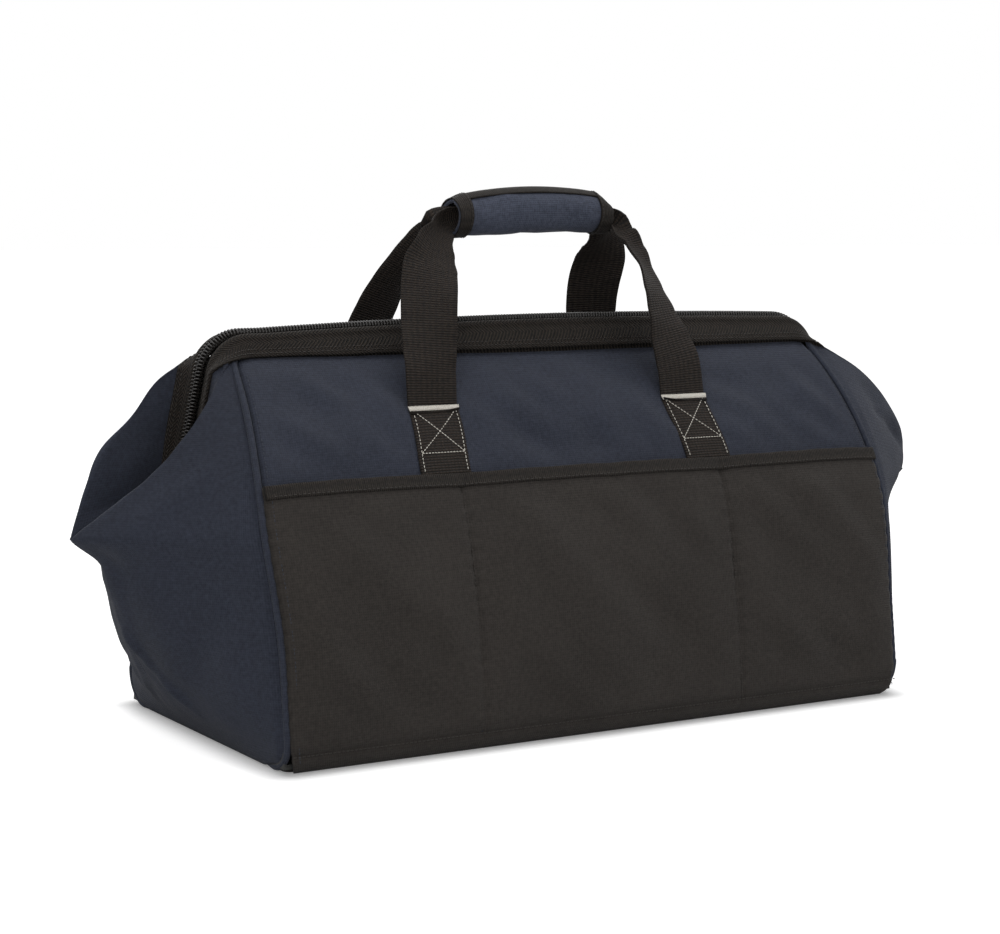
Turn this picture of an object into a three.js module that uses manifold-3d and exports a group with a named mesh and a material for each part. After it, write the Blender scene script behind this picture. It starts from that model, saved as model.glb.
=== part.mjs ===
// A wide-mouth zippered tool bag: two leaning walls with pockets, folded end gussets,
// a hinged wire frame in the mouth, a zip over it and two webbing handles in one grip.
// Millimetres, +Z up, the length along X, the front wall toward -Y, standing on Z = 0.
import * as THREE from 'three';
import { mergeVertices } from 'three/addons/utils/BufferGeometryUtils.js';
import Module from 'manifold-3d';

const wasm = await Module();
wasm.setup();

// Driving dimensions of the bag's body
const bagLength = 500;
const baseDepth = 250;
const panelTop = 256.5;
const mouthHalf = 20;
const leanShare = 0.31;
const crownPower = 4;
const endTaper = 14;
const taperStart = 150;
const clothThickness = 2.2;
const seatGap = 0.3;

// Base
const basePanelThickness = 3;
const baseBoardThickness = 3;
const baseBoardMargin = 9;
const basePipingInset = 4;

// Pockets
const pocketTop = 176;
const pocketBottomSeam = 16;
const pocketCloth = 1.4;
const pocketGap = 7.6;
const pocketFillHeight = 70;
const pocketFullness = 0.35;
const dividerX = 109;
const pocketSideMargin = 1.5;
const bindingHeight = 10;
const bindingThickness = 1.2;

// Piping along the seams
const pipingRadius = 2.2;

// Mouth: zip centre line, wire frame and its webbing sleeve
const zipHeight = 269;
const zipCornerX = 247.6;
const legTilt = THREE.MathUtils.degToRad(11.6);
const cornerRadius = 30;
const zipEndHeight = 166;
const rodRadius = 2.4;
const rodOffset = 12;
const rodDrop = 4;
const rodClearance = 0.35;
const sleeveThickness = 1.3;
const sleeveTail = 13.5;
const sleeveTailThickness = 3.4;
const sleeveTailTopLean = THREE.MathUtils.degToRad(-52);
const sleeveTailLegLean = THREE.MathUtils.degToRad(24);
const tongueLength = 20;
const hingeHeight = zipEndHeight - tongueLength;
const tongueThickness = 2;
const tongueWidth = 8;
const eyeRadius = 6;
const rivetRadius = 2;
const rivetHeadRadius = 4;
const rivetHeadThickness = 1.6;

// Zip
const coilWidth = 3.2;
const coilHeight = 6.2;
const coilGap = 0.15;
const tapeThickness = 0.8;
const tapeEdge = 1.7;
const sliderLength = 17;
const sliderWidth = 10.4;
const sliderPlate = 1.5;
const sliderPostWidth = 2.4;
const sliderPostLength = 3.4;
const stopLength = 6;
const lugRadius = 3.3;
const lugThickness = 1.6;
const pullPinRadius = 0.9;
const pullLength = 27;
const pullWidth = 8;
const pullThickness = 1.8;

// End gussets, folded outward like the end of a milk carton
const gussetCloth = 1.5;
const beakReach = 97;
const beakHeight = 142;
const beakLip = 0.2;
const ridgeSpread = 33;
const gussetSeamGap = 0.8;
const stiffenerThickness = 2;
const stiffenerTop = 118;
const stiffenerInset = 1;
const stiffenerMargin = 5;

// Handles and grip
const strapThickness = 1.6;
const strapWidth = 38;
const strapX = 103;
const strapFootX = 108;
const tackDrop = 34.5;
const tackHeight = panelTop - tackDrop;
const strapSpread = 45;
const foldClearance = 0.5;
const gripLength = 140;
const gripBottom = 329.5;
const gripHeight = 31;
const gripArch = 4.5;
const gripDepth = 34;
const gripCloth = 3;
const gripEndBinding = 8;
const strapInGripWidth = 17;
const strapInGripThickness = 3;
const strapInGripOffset = 4.2;
const gripCentreZ = gripBottom + gripHeight / 2;

// Colours and finishes
const material = (color, roughness, metalness = 0) =>
  new THREE.MeshStandardMaterial({ color, roughness, metalness });
const navyCloth = material(0x2f3646, 0.85);
const blackCloth = material(0x26231f, 0.9);
const blackWebbing = material(0x211e1b, 0.9);
const blackBinding = material(0x24211e, 0.88);
const nylonCoil = material(0x1c1a18, 0.45);
const steel = material(0x9a9c9e, 0.35, 1);
const blackMetal = material(0x2a2a2a, 0.4, 1);
const board = material(0x3a3a38, 0.8);
const hookLoop = material(0x1b1b1d, 0.95);

const bag = new THREE.Group();

function addMesh(name, geometry, meshMaterial) {
  const mesh = new THREE.Mesh(geometry, meshMaterial);
  mesh.name = name;
  bag.add(mesh);
}

const lerp = THREE.MathUtils.lerp;
const smooth = (value, low, high) => THREE.MathUtils.smoothstep(value, low, high);
const vec = (x, y, z) => new THREE.Vector3(x, y, z);

// Closed bodies from rings of points, each ring with its outline for the two end caps
function signedVolume(points, faces) {
  return faces.reduce(
    (sum, [a, b, c]) => sum + points[a].dot(points[b].clone().cross(points[c])), 0);
}

function closedBody(points, faces) {
  const turned = signedVolume(points, faces) < 0;
  const geometry = new THREE.BufferGeometry();
  geometry.setAttribute('position',
    new THREE.Float32BufferAttribute(points.flatMap((point) => point.toArray()), 3));
  geometry.setIndex(faces.flatMap(([a, b, c]) => (turned ? [a, c, b] : [a, b, c])));
  return geometry;
}

function loft(rings, outline) {
  const count = rings[0].length;
  const points = rings.flat();
  const faces = [];
  for (let ring = 0; ring < rings.length - 1; ring += 1) {
    for (let i = 0; i < count; i += 1) {
      const next = (i + 1) % count;
      const low = ring * count;
      const high = low + count;
      faces.push([low + i, low + next, high + next], [low + i, high + next, high + i]);
    }
  }
  const cap = THREE.ShapeUtils.triangulateShape(outline, []);
  const last = (rings.length - 1) * count;
  cap.forEach(([a, b, c]) => faces.push([a, c, b], [last + a, last + b, last + c]));
  return closedBody(points, faces);
}

// A thick sheet between two surfaces, each a function of (u, v) from 0 to 1
function sheet(outer, inner, columns, rows) {
  const index = (side, row, column) => (side * (rows + 1) + row) * (columns + 1) + column;
  const points = [];
  for (const surface of [outer, inner]) {
    for (let row = 0; row <= rows; row += 1) {
      for (let column = 0; column <= columns; column += 1) {
        points.push(surface(column / columns, row / rows));
      }
    }
  }
  const faces = [];
  const quad = (a, b, c, d) => faces.push([a, b, c], [a, c, d]);
  for (let row = 0; row < rows; row += 1) {
    for (let column = 0; column < columns; column += 1) {
      quad(index(0, row, column), index(0, row, column + 1),
        index(0, row + 1, column + 1), index(0, row + 1, column));
      quad(index(1, row, column), index(1, row + 1, column),
        index(1, row + 1, column + 1), index(1, row, column + 1));
    }
    quad(index(0, row, 0), index(0, row + 1, 0), index(1, row + 1, 0), index(1, row, 0));
    quad(index(0, row, columns), index(1, row, columns),
      index(1, row + 1, columns), index(0, row + 1, columns));
  }
  for (let column = 0; column < columns; column += 1) {
    quad(index(0, 0, column), index(1, 0, column),
      index(1, 0, column + 1), index(0, 0, column + 1));
    quad(index(0, rows, column), index(0, rows, column + 1),
      index(1, rows, column + 1), index(1, rows, column));
  }
  return closedBody(points, faces);
}

// Joining and cutting
function toSolid(geometry) {
  const plain = geometry.clone();
  plain.deleteAttribute('normal');
  plain.deleteAttribute('uv');
  const merged = mergeVertices(plain, 1e-4);
  const vertProperties = new Float32Array(merged.attributes.position.array);
  const triVerts = new Uint32Array(merged.index.array);
  return new wasm.Manifold(new wasm.Mesh({ numProp: 3, vertProperties, triVerts }));
}

function toGeometry(solid) {
  const mesh = solid.getMesh();
  const geometry = new THREE.BufferGeometry();
  geometry.setAttribute('position', new THREE.BufferAttribute(mesh.vertProperties, 3));
  geometry.setIndex(new THREE.BufferAttribute(mesh.triVerts, 1));
  return geometry;
}

const join = (...geometries) =>
  toGeometry(geometries.map(toSolid).reduce((sum, next) => sum.add(next)));
const cut = (geometry, ...tools) =>
  toGeometry(tools.map(toSolid).reduce((rest, tool) => rest.subtract(tool), toSolid(geometry)));

// A cut can leave slivers without volume beside the body
function largestPiece(geometry) {
  const pieces = toSolid(geometry).decompose();
  return toGeometry(pieces.reduce((best, next) => (next.volume() > best.volume() ? next : best)));
}

function box(xRange, yRange, zRange) {
  const sizes = [xRange, yRange, zRange].map(([low, high]) => Math.abs(high - low));
  const centres = [xRange, yRange, zRange].map(([low, high]) => (low + high) / 2);
  return new THREE.BoxGeometry(...sizes).translate(...centres);
}

// The walls' surface: half depth and half length at a height, and a point offset outward
const wallHalf = (z) => {
  const share = z / panelTop;
  const drop = leanShare * share + (1 - leanShare) * share ** crownPower;
  return mouthHalf + (baseDepth / 2 - mouthHalf) * (1 - drop);
};
const wallSlope = (z) => (wallHalf(z + 0.5) - wallHalf(z - 0.5));
const wallEnd = (z) => {
  const share = Math.max(0, (z - taperStart) / (panelTop - taperStart));
  return bagLength / 2 - endTaper * share ** 1.5;
};
function wallPoint(side, x, z, offset) {
  const slope = wallSlope(z);
  const length = Math.hypot(1, slope);
  return vec(x, side * (wallHalf(z) + offset / length), z - offset * slope / length);
}

// The zip's centre line in the XZ plane, and the frame of its cross-section at each station
function mouthStations(drop, endHeight) {
  const turn = Math.PI / 2 - legTilt;
  const tangentLength = cornerRadius * Math.tan(turn / 2);
  const centreX = zipCornerX - tangentLength;
  const centreZ = zipHeight - cornerRadius;
  const radius = cornerRadius - drop;
  const stations = [];
  const arcSteps = 8;
  const legStartZ = centreZ + radius * Math.cos(turn);
  const legStartX = centreX + radius * Math.sin(turn);
  const legSteps = 3;
  for (let step = 0; step <= arcSteps; step += 1) {
    const angle = turn * step / arcSteps;
    stations.push({
      x: centreX + radius * Math.sin(angle),
      z: centreZ + radius * Math.cos(angle),
      turn: angle,
      share: step / arcSteps,
    });
  }
  for (let step = 1; step <= legSteps; step += 1) {
    const z = lerp(legStartZ, endHeight, step / legSteps);
    stations.push({ x: legStartX + (legStartZ - z) * Math.tan(legTilt), z, turn, share: 1 });
  }
  const mirrored = stations.map((station) =>
    ({ ...station, x: -station.x, turn: -station.turn })).reverse();
  return [...mirrored, ...stations];
}

// away is the distance from the zip toward a wall, rise is out of the bag along the section
function mouthPoint(side, station, away, rise) {
  return vec(station.x + rise * Math.sin(station.turn), side * away,
    station.z + rise * Math.cos(station.turn));
}

function mouthSweep(side, stations, outlineAt) {
  const rings = stations.map((station) =>
    outlineAt(station).map((point) => mouthPoint(side, station, point.x, point.y)));
  return loft(rings, outlineAt(stations[0]));
}

const rectangle = (x0, x1, y0, y1) => [
  new THREE.Vector2(x0, y0), new THREE.Vector2(x1, y0),
  new THREE.Vector2(x1, y1), new THREE.Vector2(x0, y1),
];

// The sleeve's section: round over the rod, with a flat tail toward the cloth it is sewn to
function sleeveOutline(station, grow, tail) {
  const lean = lerp(sleeveTailTopLean, sleeveTailLegLean, station.share ** 2);
  const radius = rodRadius + rodClearance + sleeveThickness + grow;
  const half = sleeveTailThickness / 2 + grow;
  const points = [];
  const open = Math.asin(half / radius);
  const steps = 9;
  for (let step = 0; step <= steps; step += 1) {
    const angle = open + (2 * Math.PI - 2 * open) * step / steps;
    points.push([radius * Math.cos(angle), radius * Math.sin(angle)]);
  }
  points.push([tail, -half], [tail, half]);
  const centre = new THREE.Vector2(0, 0);
  return points.map(([x, y]) =>
    new THREE.Vector2(x, y).rotateAround(centre, lean).add(new THREE.Vector2(rodOffset, 0)));
}

function boreOutline() {
  const sides = 10;
  const radius = (rodRadius + rodClearance) / Math.cos(Math.PI / sides);
  return Array.from({ length: sides }, (_, i) => {
    const angle = 2 * Math.PI * i / sides;
    return new THREE.Vector2(rodOffset + radius * Math.cos(angle), radius * Math.sin(angle));
  });
}

const sliderHeight = zipEndHeight + 20;
const postCentre = sliderLength / 2 - sliderPostLength / 2;
const coilEndHeight = sliderHeight - postCentre + sliderPostLength / 2 + 1.5;
const rodStations = mouthStations(rodDrop, zipEndHeight);
const sleeveStations = mouthStations(rodDrop, zipEndHeight + 3);
const zipStations = mouthStations(0, zipEndHeight);

function mouthSleeve(side) {
  const body = mouthSweep(side, sleeveStations, (station) => sleeveOutline(station, 0, sleeveTail));
  const bore = mouthSweep(side, mouthStations(rodDrop, zipEndHeight), boreOutline);
  return cut(body, bore);
}

const sleeveRoom = (side) => mouthSweep(side, mouthStations(rodDrop, zipEndHeight),
  (station) => sleeveOutline(station, seatGap, sleeveTail + seatGap));

// Base
const halfLength = bagLength / 2;
addMesh('base_panel',
  box([-halfLength, halfLength], [-baseDepth / 2, baseDepth / 2], [0, basePanelThickness]),
  blackCloth);
const wallBottom = basePanelThickness + 1;
const boardHalfDepth = baseDepth / 2 - baseBoardMargin;
const stiffenerFace = halfLength - stiffenerInset;
const boardHalfLength = stiffenerFace - stiffenerThickness - seatGap;
const boardBottom = basePanelThickness + seatGap;
const boardTop = boardBottom + baseBoardThickness;
addMesh('base_board',
  box([-boardHalfLength, boardHalfLength], [-boardHalfDepth, boardHalfDepth],
    [boardBottom, boardTop]), board);

function tube(points, radius, sides, steps) {
  const circle = new THREE.Shape(Array.from({ length: sides }, (_, i) => {
    const angle = 2 * Math.PI * i / sides;
    return new THREE.Vector2(radius * Math.cos(angle), radius * Math.sin(angle));
  }));
  const path = points.length === 2
    ? new THREE.LineCurve3(...points) : new THREE.CatmullRomCurve3(points);
  return new THREE.ExtrudeGeometry(circle, { steps, bevelEnabled: false, extrudePath: path });
}

for (const [end, name] of [[-1, 'left'], [1, 'right']]) {
  const x = end * (halfLength + pipingRadius + seatGap);
  const y = baseDepth / 2 - basePipingInset;
  addMesh(`${name}_base_piping`,
    tube([vec(x, -y, pipingRadius), vec(x, y, pipingRadius)], pipingRadius, 8, 1), navyCloth);
}

// Walls: panel, pockets, bindings, piping, strap anchors
const pocketEdges = [-1, -dividerX / halfLength, dividerX / halfLength, 1];

function pocketBulge(x, z) {
  const share = x / wallEnd(z);
  const pocket = pocketEdges.findIndex((edge, i) => i > 0 && share <= edge + 1e-9);
  const low = pocketEdges[pocket - 1];
  const across = (share - low) / (pocketEdges[pocket] - low);
  const lift = smooth(z, pocketBottomSeam, pocketBottomSeam + pocketFillHeight);
  return pocketGap * Math.max(0, Math.sin(Math.PI * across)) ** pocketFullness * lift;
}

const columnsPerPocket = 7;
const pocketColumns = 3 * columnsPerPocket;
function pocketX(u, z) {
  const position = u * 3;
  const pocket = Math.min(2, Math.floor(position + 1e-9));
  const low = pocketEdges[pocket];
  const share = lerp(low, pocketEdges[pocket + 1], position - pocket);
  return share * (wallEnd(z) - pocketSideMargin);
}

function pocketPoint(side, u, z, offset) {
  const x = pocketX(u, z);
  return wallPoint(side, x, z, seatGap + pocketBulge(x, z) + offset);
}

for (const [side, wall] of [[-1, 'front'], [1, 'back']]) {
  const surface = (offset) => (u, v) => {
    const z = lerp(wallBottom, panelTop, v);
    return wallPoint(side, lerp(-1, 1, u) * wallEnd(z), z, offset);
  };
  const panel = sheet(surface(0), surface(-clothThickness), 1, 18);
  addMesh(`${wall}_panel`, cut(panel, sleeveRoom(side)), navyCloth);

  const pocket = (offset) => (u, v) =>
    pocketPoint(side, u, lerp(wallBottom, pocketTop - seatGap, v), offset);
  addMesh(`${wall}_pocket_panel`,
    sheet(pocket(pocketCloth), pocket(0), pocketColumns, 9), blackCloth);

  const trim = (offset) => (u, v) =>
    pocketPoint(side, u, lerp(pocketTop - bindingHeight, pocketTop, v), offset);
  const trimInner = pocketCloth + seatGap;
  addMesh(`${wall}_pocket_binding`,
    sheet(trim(trimInner + bindingThickness), trim(trimInner), pocketColumns, 1), blackBinding);

  for (const [end, name] of [[-1, 'left'], [1, 'right']]) {
    const heights = [0.24, 0.44, 0.6, 0.71, 0.83, 0.91].map((share) => share * panelTop);
    heights.unshift(wallBottom + 3);
    heights.push(panelTop - 8);
    const seam = heights.map((z) =>
      wallPoint(side, end * (wallEnd(z) + pipingRadius + seatGap), z, -pipingRadius));
    const piping = tube(seam, pipingRadius, 8, 16);
    addMesh(`${wall}_${name}_piping`, cut(piping, sleeveRoom(side)), navyCloth);

    const anchorBottom = pocketTop + seatGap;
    const anchorTop = tackHeight - foldClearance / 2;
    const anchor = (offset) => (u, v) => {
      const z = lerp(anchorBottom, anchorTop, v);
      const x = lerp(strapFootX, strapX, v);
      return wallPoint(side, end * x + lerp(-1, 1, u) * strapWidth / 2, z, offset);
    };
    addMesh(`${wall}_${name}_strap_anchor`,
      sheet(anchor(seatGap + strapThickness), anchor(seatGap), 1, 5), blackWebbing);
  }
}

// Wire frames: a round rod over the mouth whose flattened ends overlap at a rivet
const legEnd = rodStations[rodStations.length - 1];
const hingeX = legEnd.x + (legEnd.z - hingeHeight) * Math.tan(legTilt);
const tongueTop = legEnd.z - 4;

function frameRod(side) {
  const sides = 10;
  const circle = Array.from({ length: sides }, (_, i) => 2 * Math.PI * i / sides);
  const round = (station) => circle.map((angle) => mouthPoint(side, station,
    rodOffset + rodRadius * Math.cos(angle), rodRadius * Math.sin(angle)));
  const shift = side < 0 ? -tongueThickness / 2 - seatGap / 2 : tongueThickness / 2 + seatGap / 2;
  const flat = (end, away, z, x, thickness, width) => circle.map((angle) => vec(
    end * (x + thickness / 2 * Math.sin(angle)), side * (away + width / 2 * Math.cos(angle)), z));
  const tongue = (end) => [
    flat(end, lerp(rodOffset, 0, 0.25), tongueTop, hingeX + shift * 1.4, 3, tongueWidth * 0.8),
    flat(end, lerp(rodOffset, 0, 0.6), lerp(tongueTop, hingeHeight, 0.55), hingeX + shift,
      tongueThickness, tongueWidth),
    flat(end, 0, hingeHeight, hingeX + shift, tongueThickness, tongueWidth),
  ];
  const rings = [...tongue(-1).reverse(), ...rodStations.map(round), ...tongue(1)];
  const outline = circle.map((angle) => new THREE.Vector2(Math.cos(angle), Math.sin(angle)));
  const rod = loft(rings, outline);
  const eye = (end, radius, thickness) => new THREE.CylinderGeometry(radius, radius, thickness, 20)
    .rotateZ(Math.PI / 2).translate(end * (hingeX + shift), 0, hingeHeight);
  const eyes = [-1, 1].map((end) => eye(end, eyeRadius, tongueThickness));
  const holes = [-1, 1].map((end) => eye(end, rivetRadius + seatGap / 2, tongueThickness * 3));
  return cut(join(rod, ...eyes), ...holes);
}

addMesh('front_frame_rod', frameRod(-1), steel);
addMesh('back_frame_rod', frameRod(1), steel);

// The rivet holds the front eye and stops at the back eye's face
for (const [end, name] of [[-1, 'left'], [1, 'right']]) {
  const innerFace = hingeX - seatGap / 2 - tongueThickness;
  const profile = [
    new THREE.Vector2(0, 0), new THREE.Vector2(rivetHeadRadius * 0.7, 0),
    new THREE.Vector2(rivetHeadRadius, rivetHeadThickness * 0.5),
    new THREE.Vector2(rivetHeadRadius, rivetHeadThickness),
    new THREE.Vector2(rivetRadius, rivetHeadThickness),
    new THREE.Vector2(rivetRadius, rivetHeadThickness + seatGap + tongueThickness),
    new THREE.Vector2(0, rivetHeadThickness + seatGap + tongueThickness),
  ];
  const rivet = new THREE.LatheGeometry(profile, 16).rotateZ(-Math.PI / 2);
  rivet.translate(innerFace - seatGap - rivetHeadThickness, 0, hingeHeight);
  if (end < 0) {
    rivet.rotateZ(Math.PI);
  }
  addMesh(`${name}_frame_rivet`, rivet, steel);
}

// Webbing sleeve, zip tape and coil on each side of the mouth
for (const [side, wall] of [[-1, 'front'], [1, 'back']]) {
  addMesh(`${wall}_mouth_sleeve`, mouthSleeve(side), blackBinding);
  const tapeTop = -coilHeight / 2 - seatGap;
  const sleeveEdge = rodOffset - rodRadius - rodClearance - sleeveThickness - seatGap;
  const tapeOutline = () => rectangle(tapeEdge, sleeveEdge, tapeTop - tapeThickness, tapeTop);
  addMesh(`${wall}_zip_tape`, mouthSweep(side, zipStations, tapeOutline), blackWebbing);
  const coilOutline = () => [
    new THREE.Vector2(coilGap, -coilHeight / 2), new THREE.Vector2(coilWidth, -coilHeight / 2),
    new THREE.Vector2(coilWidth + 1, 0), new THREE.Vector2(coilWidth, coilHeight / 2 - 0.6),
    new THREE.Vector2(coilGap + 1, coilHeight / 2), new THREE.Vector2(coilGap, coilHeight / 2),
  ];
  const coilStations = mouthStations(0, coilEndHeight);
  addMesh(`${wall}_zip_coil`, mouthSweep(side, coilStations, coilOutline), nylonCoil);
}

// Slider, pull and end stops, set on the straight stretch of the zip at either end
const zipLegEnd = zipStations[zipStations.length - 1];
function onZipLeg(geometry, end, height) {
  const turned = geometry.rotateY(Math.PI / 2 - legTilt);
  const x = zipLegEnd.x - (height - zipLegEnd.z) * Math.tan(legTilt);
  turned.translate(x, 0, height);
  return end < 0 ? turned.rotateZ(Math.PI) : turned;
}

const tapeLevel = -coilHeight / 2 - seatGap - tapeThickness;
const plateTopLow = coilHeight / 2 + seatGap;
const plateTopHigh = plateTopLow + sliderPlate;
const plateBottomHigh = tapeLevel - seatGap;
const plateBottomLow = plateBottomHigh - sliderPlate;
const flangeInner = coilWidth + 1 + seatGap;

function sliderPlateShape() {
  const half = sliderLength / 2;
  const wide = sliderWidth / 2;
  const shape = new THREE.Shape();
  shape.moveTo(-half, -wide * 0.9);
  shape.lineTo(half - 3, -wide);
  shape.quadraticCurveTo(half, -wide, half, -wide + 3);
  shape.lineTo(half, wide - 3);
  shape.quadraticCurveTo(half, wide, half - 3, wide);
  shape.lineTo(-half, wide * 0.9);
  return shape;
}

function sliderBody() {
  const plate = (low) => new THREE.ExtrudeGeometry(sliderPlateShape(),
    { depth: sliderPlate, bevelEnabled: false, curveSegments: 4 }).translate(0, 0, low);
  const post = box([postCentre - sliderPostLength / 2, postCentre + sliderPostLength / 2],
    [-sliderPostWidth / 2, sliderPostWidth / 2], [plateBottomLow + 0.5, plateTopHigh - 0.5]);
  const flange = (side) => box([-sliderLength / 2 + 0.5, sliderLength / 2 - 4],
    [side * flangeInner, side * sliderWidth * 0.45],
    [tapeLevel + tapeThickness + seatGap, plateTopHigh - 0.5]);
  const arch = new THREE.Shape();
  arch.absarc(0, 0, lugRadius + lugThickness, 0, Math.PI, false);
  arch.lineTo(-lugRadius, 0);
  arch.absarc(0, 0, lugRadius, Math.PI, 0, true);
  const bridge = new THREE.ExtrudeGeometry(arch,
    { depth: lugThickness, bevelEnabled: false, curveSegments: 8 });
  bridge.translate(0, 0, -lugThickness / 2).rotateX(Math.PI / 2).translate(0, 0, plateTopHigh - 0.4);
  return join(plate(plateTopLow), plate(plateBottomLow), post, flange(-1), flange(1), bridge);
}

const pinLevel = plateTopHigh + pullPinRadius + 0.6;

function pullTab() {
  const armInner = lugThickness / 2 + 1;
  const armStart = lugRadius + lugThickness + 1.2;
  const outer = new THREE.Shape();
  outer.moveTo(-pullPinRadius, -armInner - 1.4);
  outer.lineTo(armStart, -pullWidth / 2);
  outer.lineTo(pullLength - 3, -pullWidth / 2);
  outer.quadraticCurveTo(pullLength, -pullWidth / 2, pullLength, 0);
  outer.quadraticCurveTo(pullLength, pullWidth / 2, pullLength - 3, pullWidth / 2);
  outer.lineTo(armStart, pullWidth / 2);
  outer.lineTo(-pullPinRadius, armInner + 1.4);
  const eye = new THREE.Path();
  eye.moveTo(pullPinRadius, -armInner);
  eye.lineTo(pullPinRadius, armInner);
  eye.lineTo(armStart, armInner);
  eye.lineTo(armStart, -armInner);
  outer.holes.push(eye);
  return new THREE.ExtrudeGeometry(outer,
    { depth: pullThickness, bevelEnabled: false, curveSegments: 5 })
    .translate(0, 0, pinLevel - pullPinRadius);
}

addMesh('zip_slider', onZipLeg(sliderBody(), 1, sliderHeight), blackMetal);
addMesh('zip_pull', onZipLeg(pullTab(), 1, sliderHeight), blackMetal);
for (const [end, name] of [[-1, 'left'], [1, 'right']]) {
  const stopBottom = tapeLevel + tapeThickness + seatGap;
  const stop = box([-stopLength / 2, stopLength / 2], [-coilWidth, coilWidth],
    [stopBottom, stopBottom + 2.4]);
  addMesh(`${name}_zip_stop`, onZipLeg(stop, end, zipEndHeight + stopLength / 2 + 1), blackMetal);
}

// End gussets: a seam on each wall, an outward centre line, and two ridges beside the zip
const gussetBottom = 2 * pipingRadius + seatGap + 0.5;
const gussetStart = 2 * pipingRadius + seatGap + gussetSeamGap + gussetCloth;
const foldX = halfLength + gussetStart + beakReach - 5;
const overCentre = 0.4;

function thicken(surface, thickness) {
  const step = 0.01;
  return (u, v) => {
    const [u0, u1] = [Math.max(0, u - step), Math.min(1, u + step)];
    const [v0, v1] = [Math.max(0, v - step), Math.min(1, v + step)];
    const along = surface(u1, v).sub(surface(u0, v));
    const up = surface(u, v1).sub(surface(u, v0));
    const normal = along.cross(up).normalize();
    return surface(u, v).addScaledVector(normal, thickness);
  };
}

function pathPoint(points, share) {
  const position = share * (points.length - 1);
  const index = Math.min(points.length - 2, Math.floor(position));
  return points[index].clone().lerp(points[index + 1], position - index);
}

function gusset(end) {
  const half = (side) => {
    const seamAt = (z) => vec(end * (wallEnd(z) + gussetStart),
      side * (wallHalf(z) - pipingRadius), z);
    const centreAt = (z) => {
      const share = (z - gussetBottom) / (beakHeight - gussetBottom);
      const reach = (1 - beakLip) * share ** 0.6 + beakLip * share ** 8;
      return vec(end * lerp(halfLength + gussetStart, foldX, reach), -side * overCentre, z);
    };
    const tip = centreAt(beakHeight);
    const seamTop = seamAt(panelTop - 10);
    const ridgeTop = seamTop.clone().add(vec(end * 6, side * -1, 5));
    const ridgeMiddle = vec(end * (foldX - 39), side * ridgeSpread, beakHeight + 48);
    const ridgeControl = ridgeMiddle.multiplyScalar(2)
      .sub(tip.clone().add(ridgeTop).multiplyScalar(0.5));
    const ridge = new THREE.QuadraticBezierCurve3(tip, ridgeControl, ridgeTop);
    const lower = (u, v) => {
      const from = seamAt(lerp(gussetBottom, beakHeight + 8, v));
      const to = centreAt(lerp(gussetBottom, beakHeight, v));
      const round = 1 - 0.75 * smooth(v, 0.4, 1);
      const point = from.clone().lerp(to, u);
      point.x = lerp(from.x, to.x, lerp(u, Math.sin(Math.PI / 2 * u), round));
      return point;
    };
    const upper = (u, v) => {
      const from = seamAt(lerp(beakHeight + 8, panelTop - 10, v));
      const to = ridge.getPoint(v);
      const point = from.clone().lerp(to, u);
      point.x = lerp(from.x, to.x, lerp(u, Math.sin(Math.PI / 2 * u), 0.25));
      return point;
    };
    const outer = (u, v) => (v < 0.5 ? lower(u, v * 2) : upper(u, v * 2 - 1));
    const tailEdge = (station) => {
      const lean = lerp(sleeveTailTopLean, sleeveTailLegLean, station.share ** 2);
      const reach = sleeveTail + 2 * seatGap + gussetCloth;
      return mouthPoint(side, { ...station, x: Math.abs(station.x), turn: Math.abs(station.turn) },
        rodOffset + reach * Math.cos(lean), reach * Math.sin(lean));
    };
    const edge = sleeveStations.filter((station) => station.x > 0 && station.share > 0.6)
      .reverse().map(tailEdge);
    const valley = vec(hingeX + 8, -side * overCentre, hingeHeight - 1);
    const zipEdge = [valley, ...edge].map((point) => vec(end * point.x, point.y, point.z));
    const inner = (u, v) => ridge.getPoint(v).lerp(pathPoint(zipEdge, v), u);
    const turn = end * side > 0 ? 1 : -1;
    return [
      sheet(outer, thicken(outer, turn * gussetCloth), 6, 16),
      sheet(inner, thicken(inner, turn * gussetCloth), 3, 8),
    ];
  };
  return largestPiece(cut(join(...half(-1), ...half(1)), sleeveRoom(-1), sleeveRoom(1)));
}

for (const [end, name] of [[-1, 'left'], [1, 'right']]) {
  addMesh(`${name}_gusset`, gusset(end), navyCloth);
  const outerX = end * stiffenerFace;
  const innerX = outerX - end * stiffenerThickness;
  const halfAt = (z) => wallHalf(z) - clothThickness * 1.4 - stiffenerMargin;
  const stiffener = new THREE.Shape();
  const heights = [0, 1 / 3, 2 / 3, 1].map((share) => lerp(boardBottom, stiffenerTop, share));
  heights.forEach((z, i) => (i ? stiffener.lineTo(halfAt(z), z) : stiffener.moveTo(halfAt(z), z)));
  heights.reverse().forEach((z) => stiffener.lineTo(-halfAt(z), z));
  const plate = new THREE.ExtrudeGeometry(stiffener,
    { depth: stiffenerThickness, bevelEnabled: false });
  plate.rotateX(Math.PI / 2).rotateZ(Math.PI / 2).translate(Math.min(outerX, innerX), 0, 0);
  addMesh(`${name}_end_stiffener`, plate, board);
}

// Handles: a webbing loop from tack to tack, bunched where it runs through the grip
function ribbon(stations) {
  const rings = stations.map((station, i) => {
    const before = stations[Math.max(0, i - 1)].at;
    const after = stations[Math.min(stations.length - 1, i + 1)].at;
    const tangent = after.clone().sub(before).normalize();
    const across = tangent.clone().cross(station.normal).normalize();
    const face = across.clone().cross(tangent).normalize();
    return [[-1, -1], [1, -1], [1, 1], [-1, 1]].map(([a, b]) => station.at.clone()
      .addScaledVector(across, a * station.width / 2)
      .addScaledVector(face, b * station.thickness / 2));
  });
  return loft(rings, rectangle(-1, 1, -1, 1));
}

const strapStartHeight = tackHeight + foldClearance + strapThickness / 2;

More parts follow.
